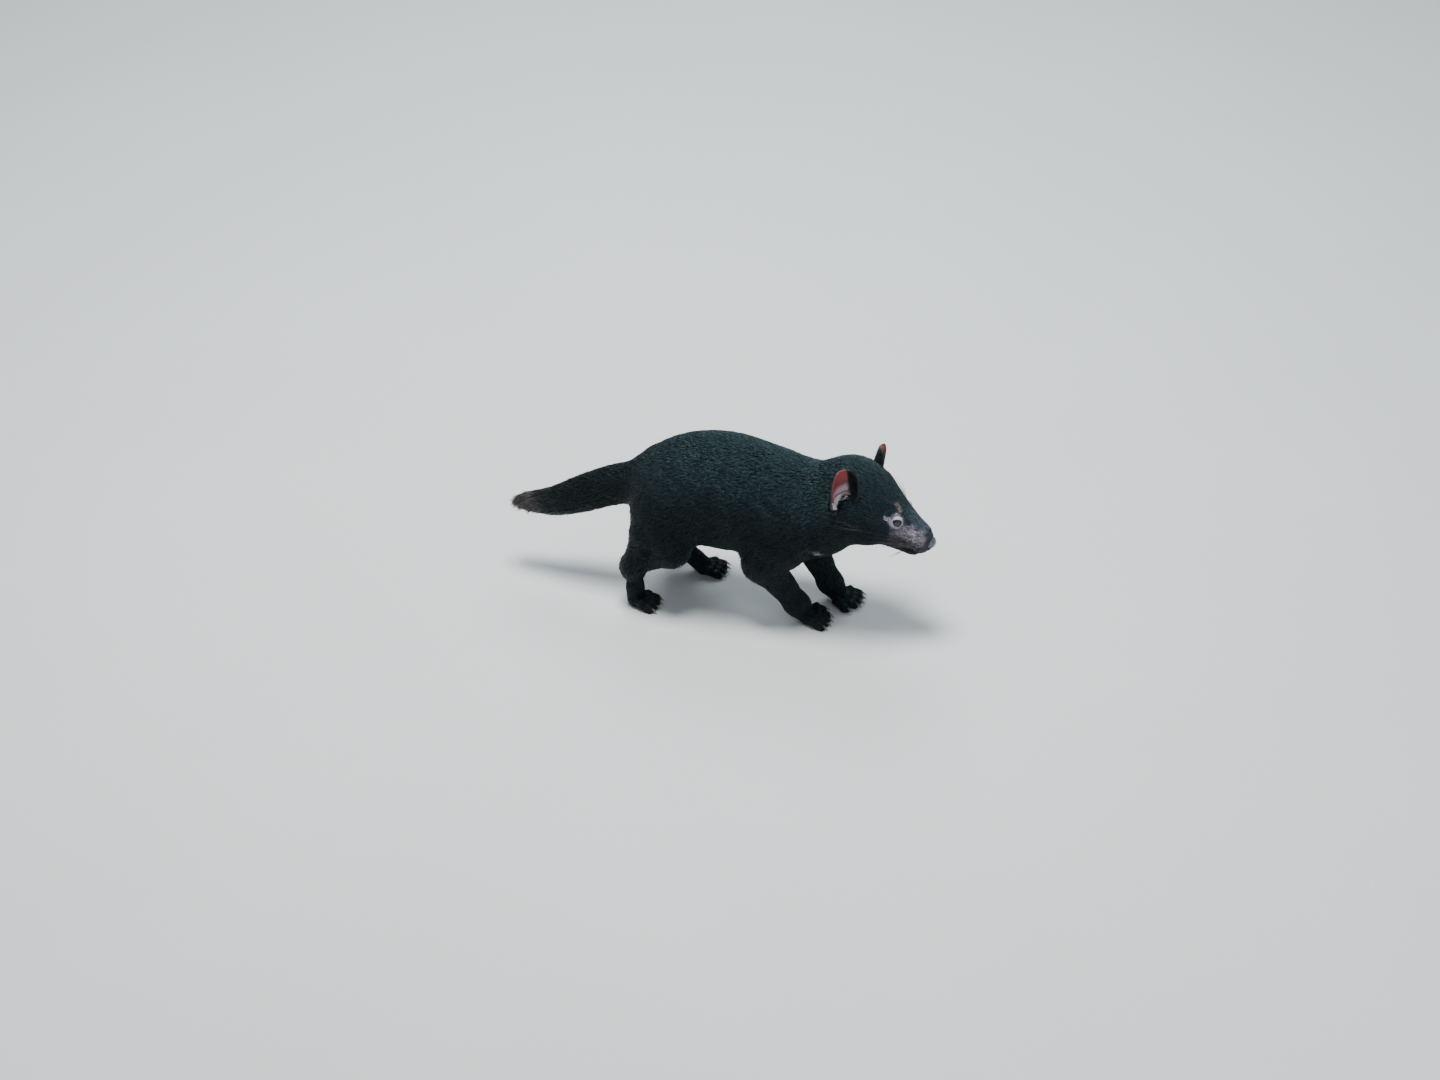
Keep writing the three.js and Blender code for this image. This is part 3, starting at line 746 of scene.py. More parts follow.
def surface_of(form: Distance, xs: Array, ys: Array, zs: Array, coarse: int = 4,
               fine_boxes: Sequence[tuple[Array, Array]] = ()) -> Surface:
    """Meshes a field on a grid of uneven lines, with one vertex in each crossed cell.

    Args:
        form: The field.
        xs: Grid lines along x, and ys and zs those along y and z.
        ys: See xs.
        zs: See xs.
        coarse: How many fine lines apart the first look is.
        fine_boxes: Boxes that are always looked at closely, for thin parts.

    Returns:
        The closed surface where the field is zero.
    """
    axes = [xs, ys, zs]
    rough = [a[::coarse] if (len(a) - 1) % coarse == 0 else np.append(a[::coarse], a[-1]) for a in axes]
    grid = np.stack(np.meshgrid(*rough, indexing="ij"), -1).reshape(-1, 3)
    values = evaluated(form, grid).reshape([len(a) for a in rough])
    for axis in range(3):
        fine, old = axes[axis], rough[axis]
        i = np.clip(np.searchsorted(old, fine, side="right") - 1, 0, len(old) - 2)
        t = ((fine - old[i]) / (old[i + 1] - old[i])).reshape([-1 if k == axis else 1 for k in range(3)])
        values = np.take(values, i, axis) * (1 - t) + np.take(values, i + 1, axis) * t
    values = values.astype(np.float32)
    close = np.abs(values) < 7.0
    for low, high in fine_boxes:
        part = [slice(*np.searchsorted(a, [low[k], high[k]])) for k, a in enumerate(axes)]
        close[tuple(part)] = True
    where = np.argwhere(close)
    values[close] = evaluated(form, np.stack([axes[k][where[:, k]] for k in range(3)], 1))
    inside = values < 0
    low = inside[:-1, :-1, :-1].astype(np.int8)
    count = np.zeros_like(low)
    for a in (0, 1):
        for b in (0, 1):
            for c in (0, 1):
                count += inside[a : a + low.shape[0], b : b + low.shape[1], c : c + low.shape[2]]
    crossed = (count > 0) & (count < 8)
    cells = np.argwhere(crossed)
    number = np.full(crossed.shape, -1, np.int64)
    number[crossed] = np.arange(len(cells))
    corner = [(a, b, c) for a in (0, 1) for b in (0, 1) for c in (0, 1)]
    total = np.zeros((len(cells), 3))
    hits = np.zeros(len(cells))
    place = [np.stack([axes[k][cells[:, k] + off[k]] for k in range(3)], 1) for off in corner]
    value = [values[tuple(cells[:, k] + off[k] for k in range(3))].astype(float) for off in corner]
    for i, a in enumerate(corner):
        for j, b in enumerate(corner):
            if sum(b) - sum(a) == 1 and all(y >= x for x, y in zip(a, b)):
                cut = (value[i] < 0) != (value[j] < 0)
                t = value[i] / np.where(cut, value[i] - value[j], 1)
                total += np.where(cut[:, None], place[i] + (place[j] - place[i]) * t[:, None], 0)
                hits += cut
    points = total / hits[:, None]
    points = settled(form, points)
    faces = []
    for axis in range(3):
        u, v = [k for k in range(3) if k != axis]
        first = [slice(1, -1)] * 3
        first[axis] = slice(0, -1)
        second = list(first)
        second[axis] = slice(1, None)
        a, b = inside[tuple(first)], inside[tuple(second)]
        for flag in (True, False):
            step = np.array([0 if k == axis else 1 for k in range(3)])
            spot = np.argwhere((a == flag) & (b != flag)) + step
            ring = []
            for du, dv in ((1, 1), (0, 1), (0, 0), (1, 0)):
                c = spot.copy()
                c[:, u] -= du
                c[:, v] -= dv
                ring.append(number[c[:, 0], c[:, 1], c[:, 2]])
            quad = np.stack(ring, 1)
            faces.append(quad if flag == (axis != 1) else quad[:, ::-1])
    return Surface(points, np.concatenate(faces))


def settled(form: Distance, p: Array) -> Array:
    """Moves places onto the surface by two short Newton steps.

    Args:
        form: The field.
        p: Places near its surface.

    Returns:
        The places, moved.
    """
    e = 0.08
    for _ in range(2):
        d = evaluated(form, p)
        slope = np.stack([(evaluated(form, p + step) - d) / e for step in np.eye(3) * e], 1)
        move = d / np.maximum((slope**2).sum(1), 0.2)
        p = p - slope * np.clip(move, -0.9, 0.9)[:, None]
    return p


# Markings: the colours of coat and skin are functions of the place on the body.


@dataclass(frozen=True)
class Markings:
    """The animal's colours, as linear red, green and blue. Three marks are painted light: back is a painted
    teal sheen on the upper body, bridge is a painted bluish sheen along the muzzle's ridge, and flank is laid
    again as painted shade in the waist hollow.
    """

    # back: painted sheen, the teal tint and lightness of light falling on the upper coat.
    back: tuple = (0.0160, 0.0275, 0.0315)
    flank: tuple = (0.0036, 0.0052, 0.0046)
    low: tuple = (0.0042, 0.0040, 0.0032)
    tail_end: tuple = (0.062, 0.055, 0.050)
    tail_skin: tuple = (0.16, 0.10, 0.095)
    foot: tuple = (0.0060, 0.0056, 0.0054)
    sole: tuple = (0.035, 0.028, 0.027)
    chest: tuple = (0.60, 0.68, 0.74)
    eye_ring: tuple = (0.47, 0.42, 0.47)
    brow: tuple = (0.30, 0.225, 0.195)
    muzzle: tuple = (0.265, 0.225, 0.265)
    # bridge: painted sheen, a bluish grey where light catches the ridge of the muzzle.
    bridge: tuple = (0.050, 0.062, 0.080)
    lips: tuple = (0.014, 0.013, 0.015)
    ear_red: tuple = (0.24, 0.030, 0.028)
    ear_lilac: tuple = (0.36, 0.235, 0.28)
    ear_notch: tuple = (0.50, 0.42, 0.44)
    ear_dark: tuple = (0.045, 0.022, 0.024)

    def at(self, p: Array) -> tuple[Array, Array]:
        """Colours places on the body.

        Args:
            p: Places in millimetres.

        Returns:
            The colours, and how furry each place is, from 0 for bare to 1.
        """
        q = HEAD.inward(p)
        m = folded(q)
        fur = np.ones(len(p))
        colour = np.tile(np.array(self.flank), (len(p), 1))

        def lay(over: tuple, share: Array) -> None:
            """Lays one colour over the rest by a share."""
            nonlocal colour
            colour = colour * (1 - share[:, None]) + np.array(over) * share[:, None]

        waver = np.sin(p[:, 1] * 0.31 + p[:, 0] * 0.21) * 5 + np.sin(p[:, 2] * 0.23 + p[:, 0] * 0.13 + 1) * 6
        lay(self.low, 0.7 * smooth_step(100, 50, p[:, 2]))
        # Painted sheen: the upper body, neck and shoulders turn teal and lighter with height, as where light
        # from above falls.
        lay(self.back, smooth_step(140, 236, p[:, 2] + waver * 0.8 + 18 * smooth_step(60, 150, p[:, 0])))
        # Painted shade: the darker flank colour is laid again over the waist hollow between ribs and thigh,
        # where the form is in shade.
        lay(self.flank, 0.6 * bump(p[:, 0] + 14, 26) * smooth_step(215, 180, p[:, 2]))
        # Takes the painted sheen of the back off the top of the head.
        lay(self.flank, 0.55 * smooth_step(-20, 20, q[:, 0]) * smooth_step(70, 40, q[:, 0]))
        lay(self.low, 0.6 * smooth_step(-105, -150, p[:, 0]) * (p[:, 2] > 60))
        lay(self.tail_end, 0.9 * smooth_step(-222, -300, p[:, 0] + waver))
        lay(self.tail_skin, 0.5 * smooth_step(-268, -300, p[:, 0] + waver * 1.4))
        lay(self.foot, smooth_step(40, 12, p[:, 2]))
        lay(self.sole, 0.8 * smooth_step(5, 2, p[:, 2]))
        patch = along_line(p, self.chest_line())
        ragged = patch + np.sin(p[:, 0] * 0.9) * 0.8 + np.sin(p[:, 2] * 1.3) * 0.7
        lay(self.chest, 0.9 * smooth_step(8.0, 3.0, ragged))
        fur = self.face(q, m, fur, lay)
        for ear in EARS:
            t, angle, roll, sheet = ear.sheet(p)
            front = -ear.side.value * angle / roll
            on_ear = (t > 0.06) & (t < 1.1) & (np.abs(sheet) < 6) & (np.abs(angle) < roll + 0.35)
            hollow = on_ear & (sheet < 0.4)
            inner = hollow * smooth_step(1.04, 0.93, np.abs(angle) / roll) * smooth_step(1.02, 0.95, t)
            middle = smooth_step(0.98, 0.86, np.abs(front))
            lay(self.ear_red, inner)
            lay(self.ear_dark, inner * 0.55 * bump(t - 0.63 + 0.1 * front, 0.09) * middle)
            rear_rim = smooth_step(-0.62, -0.86, front) * smooth_step(0.30, 0.36, t)
            lay(self.ear_lilac, inner * smooth_step(0.62, 0.44, t - 0.10 * front) * (1 - rear_rim))
            lay(self.ear_dark, inner * 0.8 * bump(t - 0.355 - 0.05 * front, 0.020))
            lay(self.ear_notch, inner * smooth_step(0.335, 0.29, t))
            lay(self.ear_dark, inner * smooth_step(0.13, 0.07, t))
            ahead = smooth_step(0.22, 0.48, front + 0.5 * (t - 0.5) * (t < 0.5))
            lay(self.flank, on_ear * ahead * smooth_step(1.0, 0.90, t * (1 - 0.12 * ahead)) * (sheet < 2))
            rim = on_ear * smooth_step(0.80, 0.92, np.maximum(np.abs(angle) / roll, t))
            fur = fur * (1 - rim) * (1 - hollow * smooth_step(0.55, 0.30, front))
        fur = fur * smooth_step(1.5, 5, p[:, 2])
        return colour, np.clip(fur, 0, 1)

    def chest_line(self) -> list[Array]:
        """Returns the line of the pale mark on the right side of the chest."""
        return [point(117, -57, 127), point(126, -50, 121), point(134, -40, 113)]

    def face(self, q: Array, m: Array, fur: Array, lay: Callable[[tuple, Array], None]) -> Array:
        """Lays the markings of the face.

        Args:
            q: Places in the head's frame.
            m: The same places with both sides folded onto the left.
            fur: How furry each place is.
            lay: Lays a colour by a share.

        Returns:
            How furry each place is, with the bare places of the face.
        """
        face = smooth_step(20, 40, q[:, 0])
        blotch = np.sin(m[:, 0] * 0.55 + m[:, 2] * 0.4) * 1.3
        blotch = blotch + np.sin(m[:, 2] * 0.7 - m[:, 0] * 0.3 + 1) * 1.3
        blotch = blotch + np.sin(m[:, 0] * 2.9 + m[:, 1]) * np.sin(m[:, 2] * 3.3 - m[:, 1] * 1.7) * 0.9
        # Painted sheen: a bluish-grey streak along the ridge of the muzzle.
        bridge = along_line(m, [point(60, 3, 24), point(84, 6, 9), point(101, 4, 1)])
        lay(self.bridge, 0.8 * face * smooth_step(13, 5, bridge + blotch) * smooth_step(62, 80, q[:, 0]))
        side = along_line(m, [point(74, 24, -9), point(86, 19, -6), point(98, 14, -8)])
        patch = face * smooth_step(17, 3, side + blotch)
        lay(self.muzzle, patch)
        lay(self.lips, 0.3 * patch * smooth_step(0.6, 2.4, blotch))
        fur = fur * (1 - 0.8 * patch)
        u, w, _ = eye_local(q)
        by_eye = smooth_step(26, 18, np.linalg.norm(m - EYE_AT, axis=1))
        ring = np.hypot(u, w * 1.08) + blotch * 0.25
        lay(self.eye_ring, by_eye * smooth_step(12.0, 8.2, ring))
        streak = along_line(np.stack([u, w, u * 0], 1), [point(-9, 0, 0), point(-16, 0.4, 0)])
        lay(self.eye_ring, 0.6 * by_eye * smooth_step(3.9, 0.6, streak + blotch * 0.2))
        lay(self.lips, by_eye * smooth_step(6.9, 6.3, np.hypot(u, w * 1.35)))
        fur = fur * (1 - by_eye * smooth_step(11.0, 8.5, ring))
        spot = along_line(m, [point(54, 15.2, 20.5), point(60, 16.2, 17)])
        lay(self.brow, 0.8 * smooth_step(5.6, 0.8, spot + blotch * 0.2))
        off = q[:, 2] - mouth_height(q[:, 0])
        chin = smooth_step(0.5, -1.5, off) * smooth_step(-16, -8, off)
        lay(self.lips, 0.85 * smooth_step(50, 62, q[:, 0]) * chin)
        mouth = smooth_step(54, 62, q[:, 0]) * bump(off, 2.1)
        lay(self.lips, np.clip(mouth * 1.2, 0, 1))
        fur = fur * (1 - mouth)
        lay(self.lips, smooth_step(103, 109, q[:, 0]) * 0.9)
        return fur * (1 - smooth_step(101, 108, q[:, 0]))


MARKINGS = Markings()


# An unwrap of the skin's own shape: each region is rolled off its own centre line.


class Region(Enum):
    """Parts of the skin that are unwrapped and furred one by one."""

    TAIL = 0
    TORSO = 1
    HEAD = 2
    HIND_RIGHT = 3
    HIND_LEFT = 4
    FORE_RIGHT = 5
    FORE_LEFT = 6
    EAR_LEFT = 7
    EAR_RIGHT = 8


CHARTS = {  # left, bottom, width, height of each region's place on the map
    Region.TORSO: (0.01, 0.36, 0.52, 0.62),
    Region.HEAD: (0.56, 0.52, 0.42, 0.46),
    Region.TAIL: (0.01, 0.01, 0.34, 0.32),
    Region.HIND_RIGHT: (0.38, 0.01, 0.14, 0.32),
    Region.HIND_LEFT: (0.55, 0.01, 0.14, 0.32),
    Region.FORE_RIGHT: (0.72, 0.01, 0.12, 0.32),
    Region.FORE_LEFT: (0.87, 0.01, 0.12, 0.32),
    Region.EAR_LEFT: (0.56, 0.36, 0.19, 0.13),
    Region.EAR_RIGHT: (0.78, 0.36, 0.19, 0.13),
}


def region_of(p: Array) -> Array:
    """Returns the number of the region that each place belongs to.

    Args:
        p: Places in millimetres of the body's frame.

    Returns:
        The value of a Region for each place.
    """
    q = HEAD.inward(p)
    result = np.full(len(p), Region.TORSO.value)
    result[p[:, 0] < -131] = Region.TAIL.value
    result[(q[:, 0] > -14) & (p[:, 2] > 112) & (p[:, 0] > 140)] = Region.HEAD.value
    for leg, region in zip(LEGS, (Region.HIND_RIGHT, Region.HIND_LEFT, Region.FORE_RIGHT, Region.FORE_LEFT)):
        line = [leg.middle + point(0, 0, 10), leg.middle, leg.ankle, leg.ball, leg.ball + point(30, 0, 0)]
        low = (p[:, 2] < 98) & (p[:, 1] * leg.side.value > 0) & (along_line(p, line) < 40)
        result[low & (p[:, 0] * (1 if leg.fore else -1) > (20 if leg.fore else 0))] = region.value
    for ear, region in zip(EARS, (Region.EAR_LEFT, Region.EAR_RIGHT)):
        t, angle, roll, off = ear.sheet(p)
        result[(t > 0.22) & (t < 1.2) & (np.abs(off) < 4.5) & (np.abs(angle) < roll + 0.4)] = region.value
    return result


def rolled(p: Array, region: Region) -> tuple[Array, Array]:
    """Unrolls places of one region.

    Args:
        p: Places in millimetres.
        region: The region whose centre line is used.

    Returns:
        The turn round the centre line as a share of a full turn, and the share along it.
    """
    if region in (Region.TORSO, Region.TAIL):
        xs = [s[0][0] for s in TAIL[::-1] + TRUNK + NECK]
        zs = [s[0][2] for s in TAIL[::-1] + TRUNK + NECK]
        centre = np.interp(p[:, 0], xs, zs)
        turn = np.arctan2(p[:, 1], p[:, 2] - centre)
        low, high = (-310, -128) if region is Region.TAIL else (-135, 190)
        return turn / (2 * np.pi) + 0.5, (p[:, 0] - low) / (high - low)
    if region is Region.HEAD:
        q = HEAD.inward(p)
        return np.arctan2(q[:, 1], q[:, 2] + 14) / (2 * np.pi) + 0.5, (q[:, 0] + 40) / 165
    if region in (Region.EAR_LEFT, Region.EAR_RIGHT):
        ear = EARS[0 if region is Region.EAR_LEFT else 1]
        t, angle, _, off = ear.sheet(p)
        return np.where(off > 0, 0.27, 0.77) + angle * 0.13, t * 0.95
    leg = LEGS[region.value - Region.HIND_RIGHT.value]
    line = np.array([leg.hip, leg.middle, leg.ankle, leg.ball - point(0, 0, 12)])[::-1]
    cx = np.interp(p[:, 2], line[:, 2], line[:, 0]) + 8 * smooth_step(24, 8, p[:, 2])
    cy = np.interp(p[:, 2], line[:, 2], line[:, 1])
    reach = np.hypot(p[:, 0] - cx, p[:, 1] - cy)
    turn = np.arctan2(p[:, 1] - cy, p[:, 0] - cx)
    down = smooth_step(30, 5, p[:, 2]) * np.clip(reach / 45, 0, 1)
    return turn / (2 * np.pi) + 0.5, (p[:, 2] + 45 * (1 - down)) / 160


def unwrap(p: Array, regions: Array) -> Array:
    """Returns each place's spot on the map of its region.

    Args:
        p: Places in millimetres of the body's frame.
        regions: The value of a Region for each.

    Returns:
        The spots, as two shares of the map.
    """
    result = np.zeros((len(p), 2))
    for region, (left, bottom, width, height) in CHARTS.items():
        part = regions == region.value
        turn, along = rolled(p[part], region)
        result[part, 0] = left + width * turn
        result[part, 1] = bottom + height * np.clip(along, 0, 1)
    return result


def unwrap_faces(surface: Surface) -> Array:
    """Returns the map's corners of each face, without a face that spans a region's seam.

    Args:
        surface: The skin.

    Returns:
        Four spots for each face.
    """
    regions = region_of(surface.points[surface.faces].mean(1))
    corners = [unwrap(surface.points[surface.faces[:, i]], regions) for i in range(4)]
    uv = np.stack(corners, 1)
    width = np.array([CHARTS[Region(k)][2] for k in range(len(CHARTS))])[regions]
    spread = uv[:, :, 0].max(1) - uv[:, :, 0].min(1) > 0.5 * width
    left = uv[:, :, 0] < uv[:, :, 0].mean(1, keepdims=True)
    uv[:, :, 0] += np.where(spread[:, None] & left, width[:, None], 0)
    return uv


# Shader maths.


@dataclass(frozen=True)
class Value:
    """A socket that can be used in an expression."""

    tree: Any
    socket: Any

    def _math(self, operation: str, *others: Any) -> "Value":
        """Adds a Math node of this value and others."""
        inputs = dict(enumerate((self, *others)))
        return Nodes(self.tree).add("ShaderNodeMath", {"operation": operation}, inputs)

    def __add__(self, other: Any) -> "Value":
        """Adds."""
        return self._math("ADD", other)

    __radd__ = __add__

    def __mul__(self, other: Any) -> "Value":
        """Multiplies."""
        return self._math("MULTIPLY", other)

    __rmul__ = __mul__

    def __sub__(self, other: Any) -> "Value":
        """Subtracts."""
        return self._math("SUBTRACT", other)

    def __rsub__(self, other: float) -> "Value":
        """Subtracts from a number."""
        return (self * -1.0) + other


@dataclass(frozen=True)
class Nodes:
    """Adds nodes to a material's tree."""

    tree: Any

    def add(self, kind: str, settings: dict[str, Any], inputs: dict[Any, Any], output: Any = 0) -> Value:
        """Adds one node.

        Args:
            kind: The node's type.
            settings: Its settings, set first.
            inputs: Its sockets' values or links, by name or number.
            output: The socket that is returned.

        Returns:
            The chosen output.
        """
        node = self.tree.nodes.new(kind)
        for name, value in settings.items():
            setattr(node, name, value)
        for name, value in inputs.items():
            if isinstance(value, Value):
                self.tree.links.new(value.socket, node.inputs[name])
            else:
                node.inputs[name].default_value = value
        return Value(self.tree, node.outputs[output])

    def mix(self, share: Any, a: Any, b: Any, kind: str = "MIX") -> Value:
        """Mixes two colours by a share."""
        return self.add("ShaderNodeMix", {"data_type": "RGBA", "blend_type": kind},
                        {0: share, 6: a, 7: b}, 2)

    def noise(self, place: Value, scale: float, detail: float = 3.0, roughness: float = 0.5) -> Value:
        """Adds a noise texture and returns its height."""
        return self.add("ShaderNodeTexNoise", {}, {"Vector": place, "Scale": scale, "Detail": detail,
                                                   "Roughness": roughness}, "Fac")

    def place(self) -> Value:
        """Returns the place on the object, which is also the place in the row's frame."""
        return self.add("ShaderNodeTexCoord", {}, {}, "Object")

    def colour(self, name: str) -> Value:
        """Returns a stored colour of the mesh."""
        return self.add("ShaderNodeAttribute", {"attribute_name": name}, {}, "Color")

    def stretched(self, scale: Sequence[float]) -> Value:
        """Returns the place, stretched."""
        return self.add("ShaderNodeMapping", {}, {"Vector": self.place(), "Scale": tuple(scale)})


@dataclass(frozen=True)
class Finish:
    """A finish: its principled shader's plain numbers, and what varies over it."""

    name: str
    roughness: float = 0.5
    specular: float = 0.5
    specular_tint: tuple = (1.0, 1.0, 1.0)
    coat: float = 0.0
    subsurface: float = 0.0
    subsurface_radius: tuple = (0.004, 0.0015, 0.001)

    def dress(self, nodes: Nodes, shader: Any) -> None:
        """Links what varies. A plain finish has nothing."""

    def material(self) -> Any:
        """Returns the finish's material, made once."""
        found = bpy.data.materials.get(self.name)
        if found:
            return found
        made = bpy.data.materials.new(self.name)
        made.use_nodes = True
        shader = made.node_tree.nodes["Principled BSDF"]
        for socket, value in (
            ("Roughness", self.roughness),
            ("Specular IOR Level", self.specular),
            ("Specular Tint", (*self.specular_tint, 1)),
            ("Coat Weight", self.coat),
            ("Coat Roughness", 0.03),
            ("Subsurface Weight", self.subsurface),
            ("Subsurface Radius", self.subsurface_radius),
            ("Subsurface Scale", 1.0),
        ):
            shader.inputs[socket].default_value = value
        self.dress(Nodes(made.node_tree), shader)
        return made

    def link(self, shader: Any, socket: str, value: Value) -> None:
        """Links a value to one of the shader's sockets."""
        value.tree.links.new(value.socket, shader.inputs[socket])


@dataclass(frozen=True)
class CoatFinish(Finish):
    """Fine short fur: each tuft's colour, which carries the painted sheen and shade of the markings, with a
    slight change of gloss from place to place.
    """

    def dress(self, nodes: Nodes, shader: Any) -> None:
        """Links colour and roughness."""
        colour = nodes.colour("marking")
        self.link(shader, "Base Color", colour)
        mottle = nodes.noise(nodes.place(), 260.0, 2.0)
        self.link(shader, "Roughness", mottle * 0.22 + (self.roughness - 0.11))


@dataclass(frozen=True)
class SkinFinish(Finish):
    """Skin with a nap of the finest hair, pebbled where it is bare."""

    def dress(self, nodes: Nodes, shader: Any) -> None:
        """Links colour, roughness and bump."""
        colour = nodes.colour("marking")
        fine = nodes.noise(nodes.stretched((160, 900, 900)), 1.0, 4.0, 0.6)
        pebble = nodes.noise(nodes.place(), 1400.0, 2.0)
        shade = nodes.add("ShaderNodeMapRange", {}, {"Value": fine, "From Min": 0.3, "From Max": 0.7,
                                                     "To Min": 0.62, "To Max": 1.2})
        grey = nodes.add("ShaderNodeCombineColor", {}, {0: shade, 1: shade, 2: shade})
        self.link(shader, "Base Color", nodes.mix(1.0, colour, grey, "MULTIPLY"))
        self.link(shader, "Roughness", fine * 0.3 + (self.roughness - 0.15))
        height = fine * 0.75 + pebble * 0.25
        self.link(shader, "Normal", nodes.add("ShaderNodeBump", {}, {"Strength": 0.55, "Distance": 0.0006,
                                                                      "Height": height}))


@dataclass(frozen=True)
class NoseFinish(Finish):
    """Moist, finely pebbled skin of a bluish black."""

    def dress(self, nodes: Nodes, shader: Any) -> None:
        """Links colour and bump."""
        cells = nodes.add("ShaderNodeTexVoronoi", {"feature": "DISTANCE_TO_EDGE"},
                          {"Vector": nodes.place(), "Scale": 900.0}, "Distance")
        tone = nodes.noise(nodes.place(), 220.0)
        self.link(shader, "Base Color", nodes.mix(tone, (0.030, 0.040, 0.055, 1), (0.060, 0.078, 0.105, 1)))
        self.link(shader, "Normal", nodes.add("ShaderNodeBump", {}, {"Strength": 0.5, "Distance": 0.0004,
                                                                      "Height": cells}))


@dataclass(frozen=True)
class EyeFinish(Finish):
    """The eyeball's own colours, streaked with a bluish black, under a wet surface."""

    def dress(self, nodes: Nodes, shader: Any) -> None:
        """Links the colour."""
        colour = nodes.colour("marking")
        streaks = nodes.noise(nodes.place(), 900.0, 3.0)
        self.link(shader, "Base Color", nodes.mix(streaks * 0.5, colour, (0.004, 0.005, 0.008, 1)))


@dataclass(frozen=True)
class ClawFinish(Finish):
    """Horn that pales towards its tip, with fine lengthwise grain."""

    def dress(self, nodes: Nodes, shader: Any) -> None:
        """Links the colour."""
        grain = nodes.noise(nodes.stretched((60, 900, 900)), 1.0, 3.0)
        colour = nodes.colour("marking")
        self.link(shader, "Base Color", nodes.mix(grain * 0.5, colour, (0.05, 0.042, 0.036, 1)))


@dataclass(frozen=True)
class FloorFinish(Finish):
    """A plain pale floor."""

    def dress(self, nodes: Nodes, shader: Any) -> None:
        """Links the colour."""
        tone = nodes.noise(nodes.place(), 3.0, 2.0)
        self.link(shader, "Base Color", nodes.mix(tone, (0.66, 0.66, 0.65, 1), (0.70, 0.70, 0.69, 1)))


COAT = CoatFinish("Devil coat", roughness=0.48, specular=0.34, specular_tint=(0.60, 0.90, 1.0))
SKIN = SkinFinish("Devil skin", roughness=0.62, specular=0.32, subsurface=0.10)
NOSE = NoseFinish("Moist nose", roughness=0.3, specular=0.6, coat=0.5)
EYE = EyeFinish("Wet eye", roughness=0.06, specular=0.5, coat=0.3)
CLAW = ClawFinish("Claw horn", roughness=0.4, specular=0.5)
WHISKER = Finish("Whisker", roughness=0.35, specular=0.6)
FLOOR = FloorFinish("Studio floor", roughness=0.9)


# Building blocks.


@dataclass(frozen=True)
class Row:
    """Where the body's frame lies in the row's frame, found from an eye that both have."""

    def shift(self) -> Array:
        """Returns the move from the body's frame to the row's, in millimetres."""
        low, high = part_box("eye_right")
        eye = HEAD.outward(EYE_AT * point(1, -1, 1))
        return np.round((np.array(low) + np.array(high)) / 2 / MM - eye, 2) * point(1, 1, 0)

    def metres(self, p: Array) -> Array:
        """Takes places of the body's frame into the row's, in metres."""
        return (p + SHIFT) * MM


ROW = Row()
SHIFT = ROW.shift()


def mesh_object(name: str, points: Array, faces: Array, finish: Finish,
                colours: Array | None = None, uv: Array | None = None) -> Any:
    """Makes an object from arrays.

    Args:
        name: The object's name.
        points: Its points, in millimetres of the body's frame.
        faces: Its faces, of three or four corners each.
        finish: Its finish.
        colours: A colour for each point, if the finish reads one.
        uv: A spot on the map for each corner of each face.

    Returns:
        The object.
    """
    mesh = bpy.data.meshes.new(name)
    sides = faces.shape[1]
    mesh.vertices.add(len(points))
    mesh.vertices.foreach_set("co", ROW.metres(points).astype(np.float32).ravel())
    mesh.loops.add(faces.size)
    mesh.loops.foreach_set("vertex_index", faces.astype(np.int32).ravel())
    mesh.polygons.add(len(faces))
    mesh.polygons.foreach_set("loop_start", np.arange(0, faces.size, sides, dtype=np.int32))
    mesh.polygons.foreach_set("use_smooth", np.ones(len(faces), bool))
    if uv is not None:
        layer = mesh.uv_layers.new(name="OFBake")
        layer.data.foreach_set("uv", uv.astype(np.float32).ravel())
    if colours is not None:
        layer = mesh.color_attributes.new("marking", "FLOAT_COLOR", "POINT")
        rgba = np.concatenate([colours, np.ones((len(colours), 1))], 1)
        layer.data.foreach_set("color", rgba.astype(np.float32).ravel())
    mesh.update(calc_edges=True)
    mesh.validate()
    mesh.materials.append(finish.material())
    made = bpy.data.objects.new(name, mesh)
    bpy.context.scene.collection.objects.link(made)
    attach(made, "root")
    log.info("%s: %d faces", name, len(faces))
    return made


def tubes(lines: Array, radii: Array, sides: int) -> tuple[Array, Array]:
    """Makes many tapered closed tubes at once.

    Args:
        lines: Their centre lines, as tube, step and coordinate.
        radii: Their radii, as tube and step.
        sides: How many sides each has.

    Returns:
        The points and the three-sided faces.
    """
    n, steps, _ = lines.shape
    ahead = np.gradient(lines, axis=1)
    ahead /= np.maximum(np.linalg.norm(ahead, axis=2, keepdims=True), 1e-9)
    other = np.cross(ahead, point(0.12, 0.35, 0.93))
    other /= np.maximum(np.linalg.norm(other, axis=2, keepdims=True), 1e-9)
    third = np.cross(ahead, other)
    angles = np.arange(sides) * 2 * np.pi / sides
    rings = lines[:, :, None] + radii[:, :, None, None] * (
        other[:, :, None] * np.cos(angles)[:, None] + third[:, :, None] * np.sin(angles)[:, None]
    )
    points = np.concatenate([lines[:, :1], rings.reshape(n, -1, 3), lines[:, -1:]], 1)
    faces = []
    last = 1 + steps * sides
    for j in range(sides):
        k = (j + 1) % sides
        faces.append((0, 1 + j, 1 + k))
        faces.append((last, 1 + (steps - 1) * sides + k, 1 + (steps - 1) * sides + j))
        for i in range(steps - 1):
            a, b = 1 + i * sides + j, 1 + i * sides + k
            faces.append((a, a + sides, b))
            faces.append((b, a + sides, b + sides))
    each = last + 1
    every = (np.array(faces)[None] + (np.arange(n) * each)[:, None, None]).reshape(-1, 3)
    return points.reshape(-1, 3), every


FLESH = ["torso", "neck", "head", "tail_root", "tail_end", "ear_left", "ear_right"] + [
    f"{part}_{side}"
    for side in ("left", "right")
    for part in ("thigh", "shank", "hind_paw", "upper_arm", "forearm", "fore_paw")
]


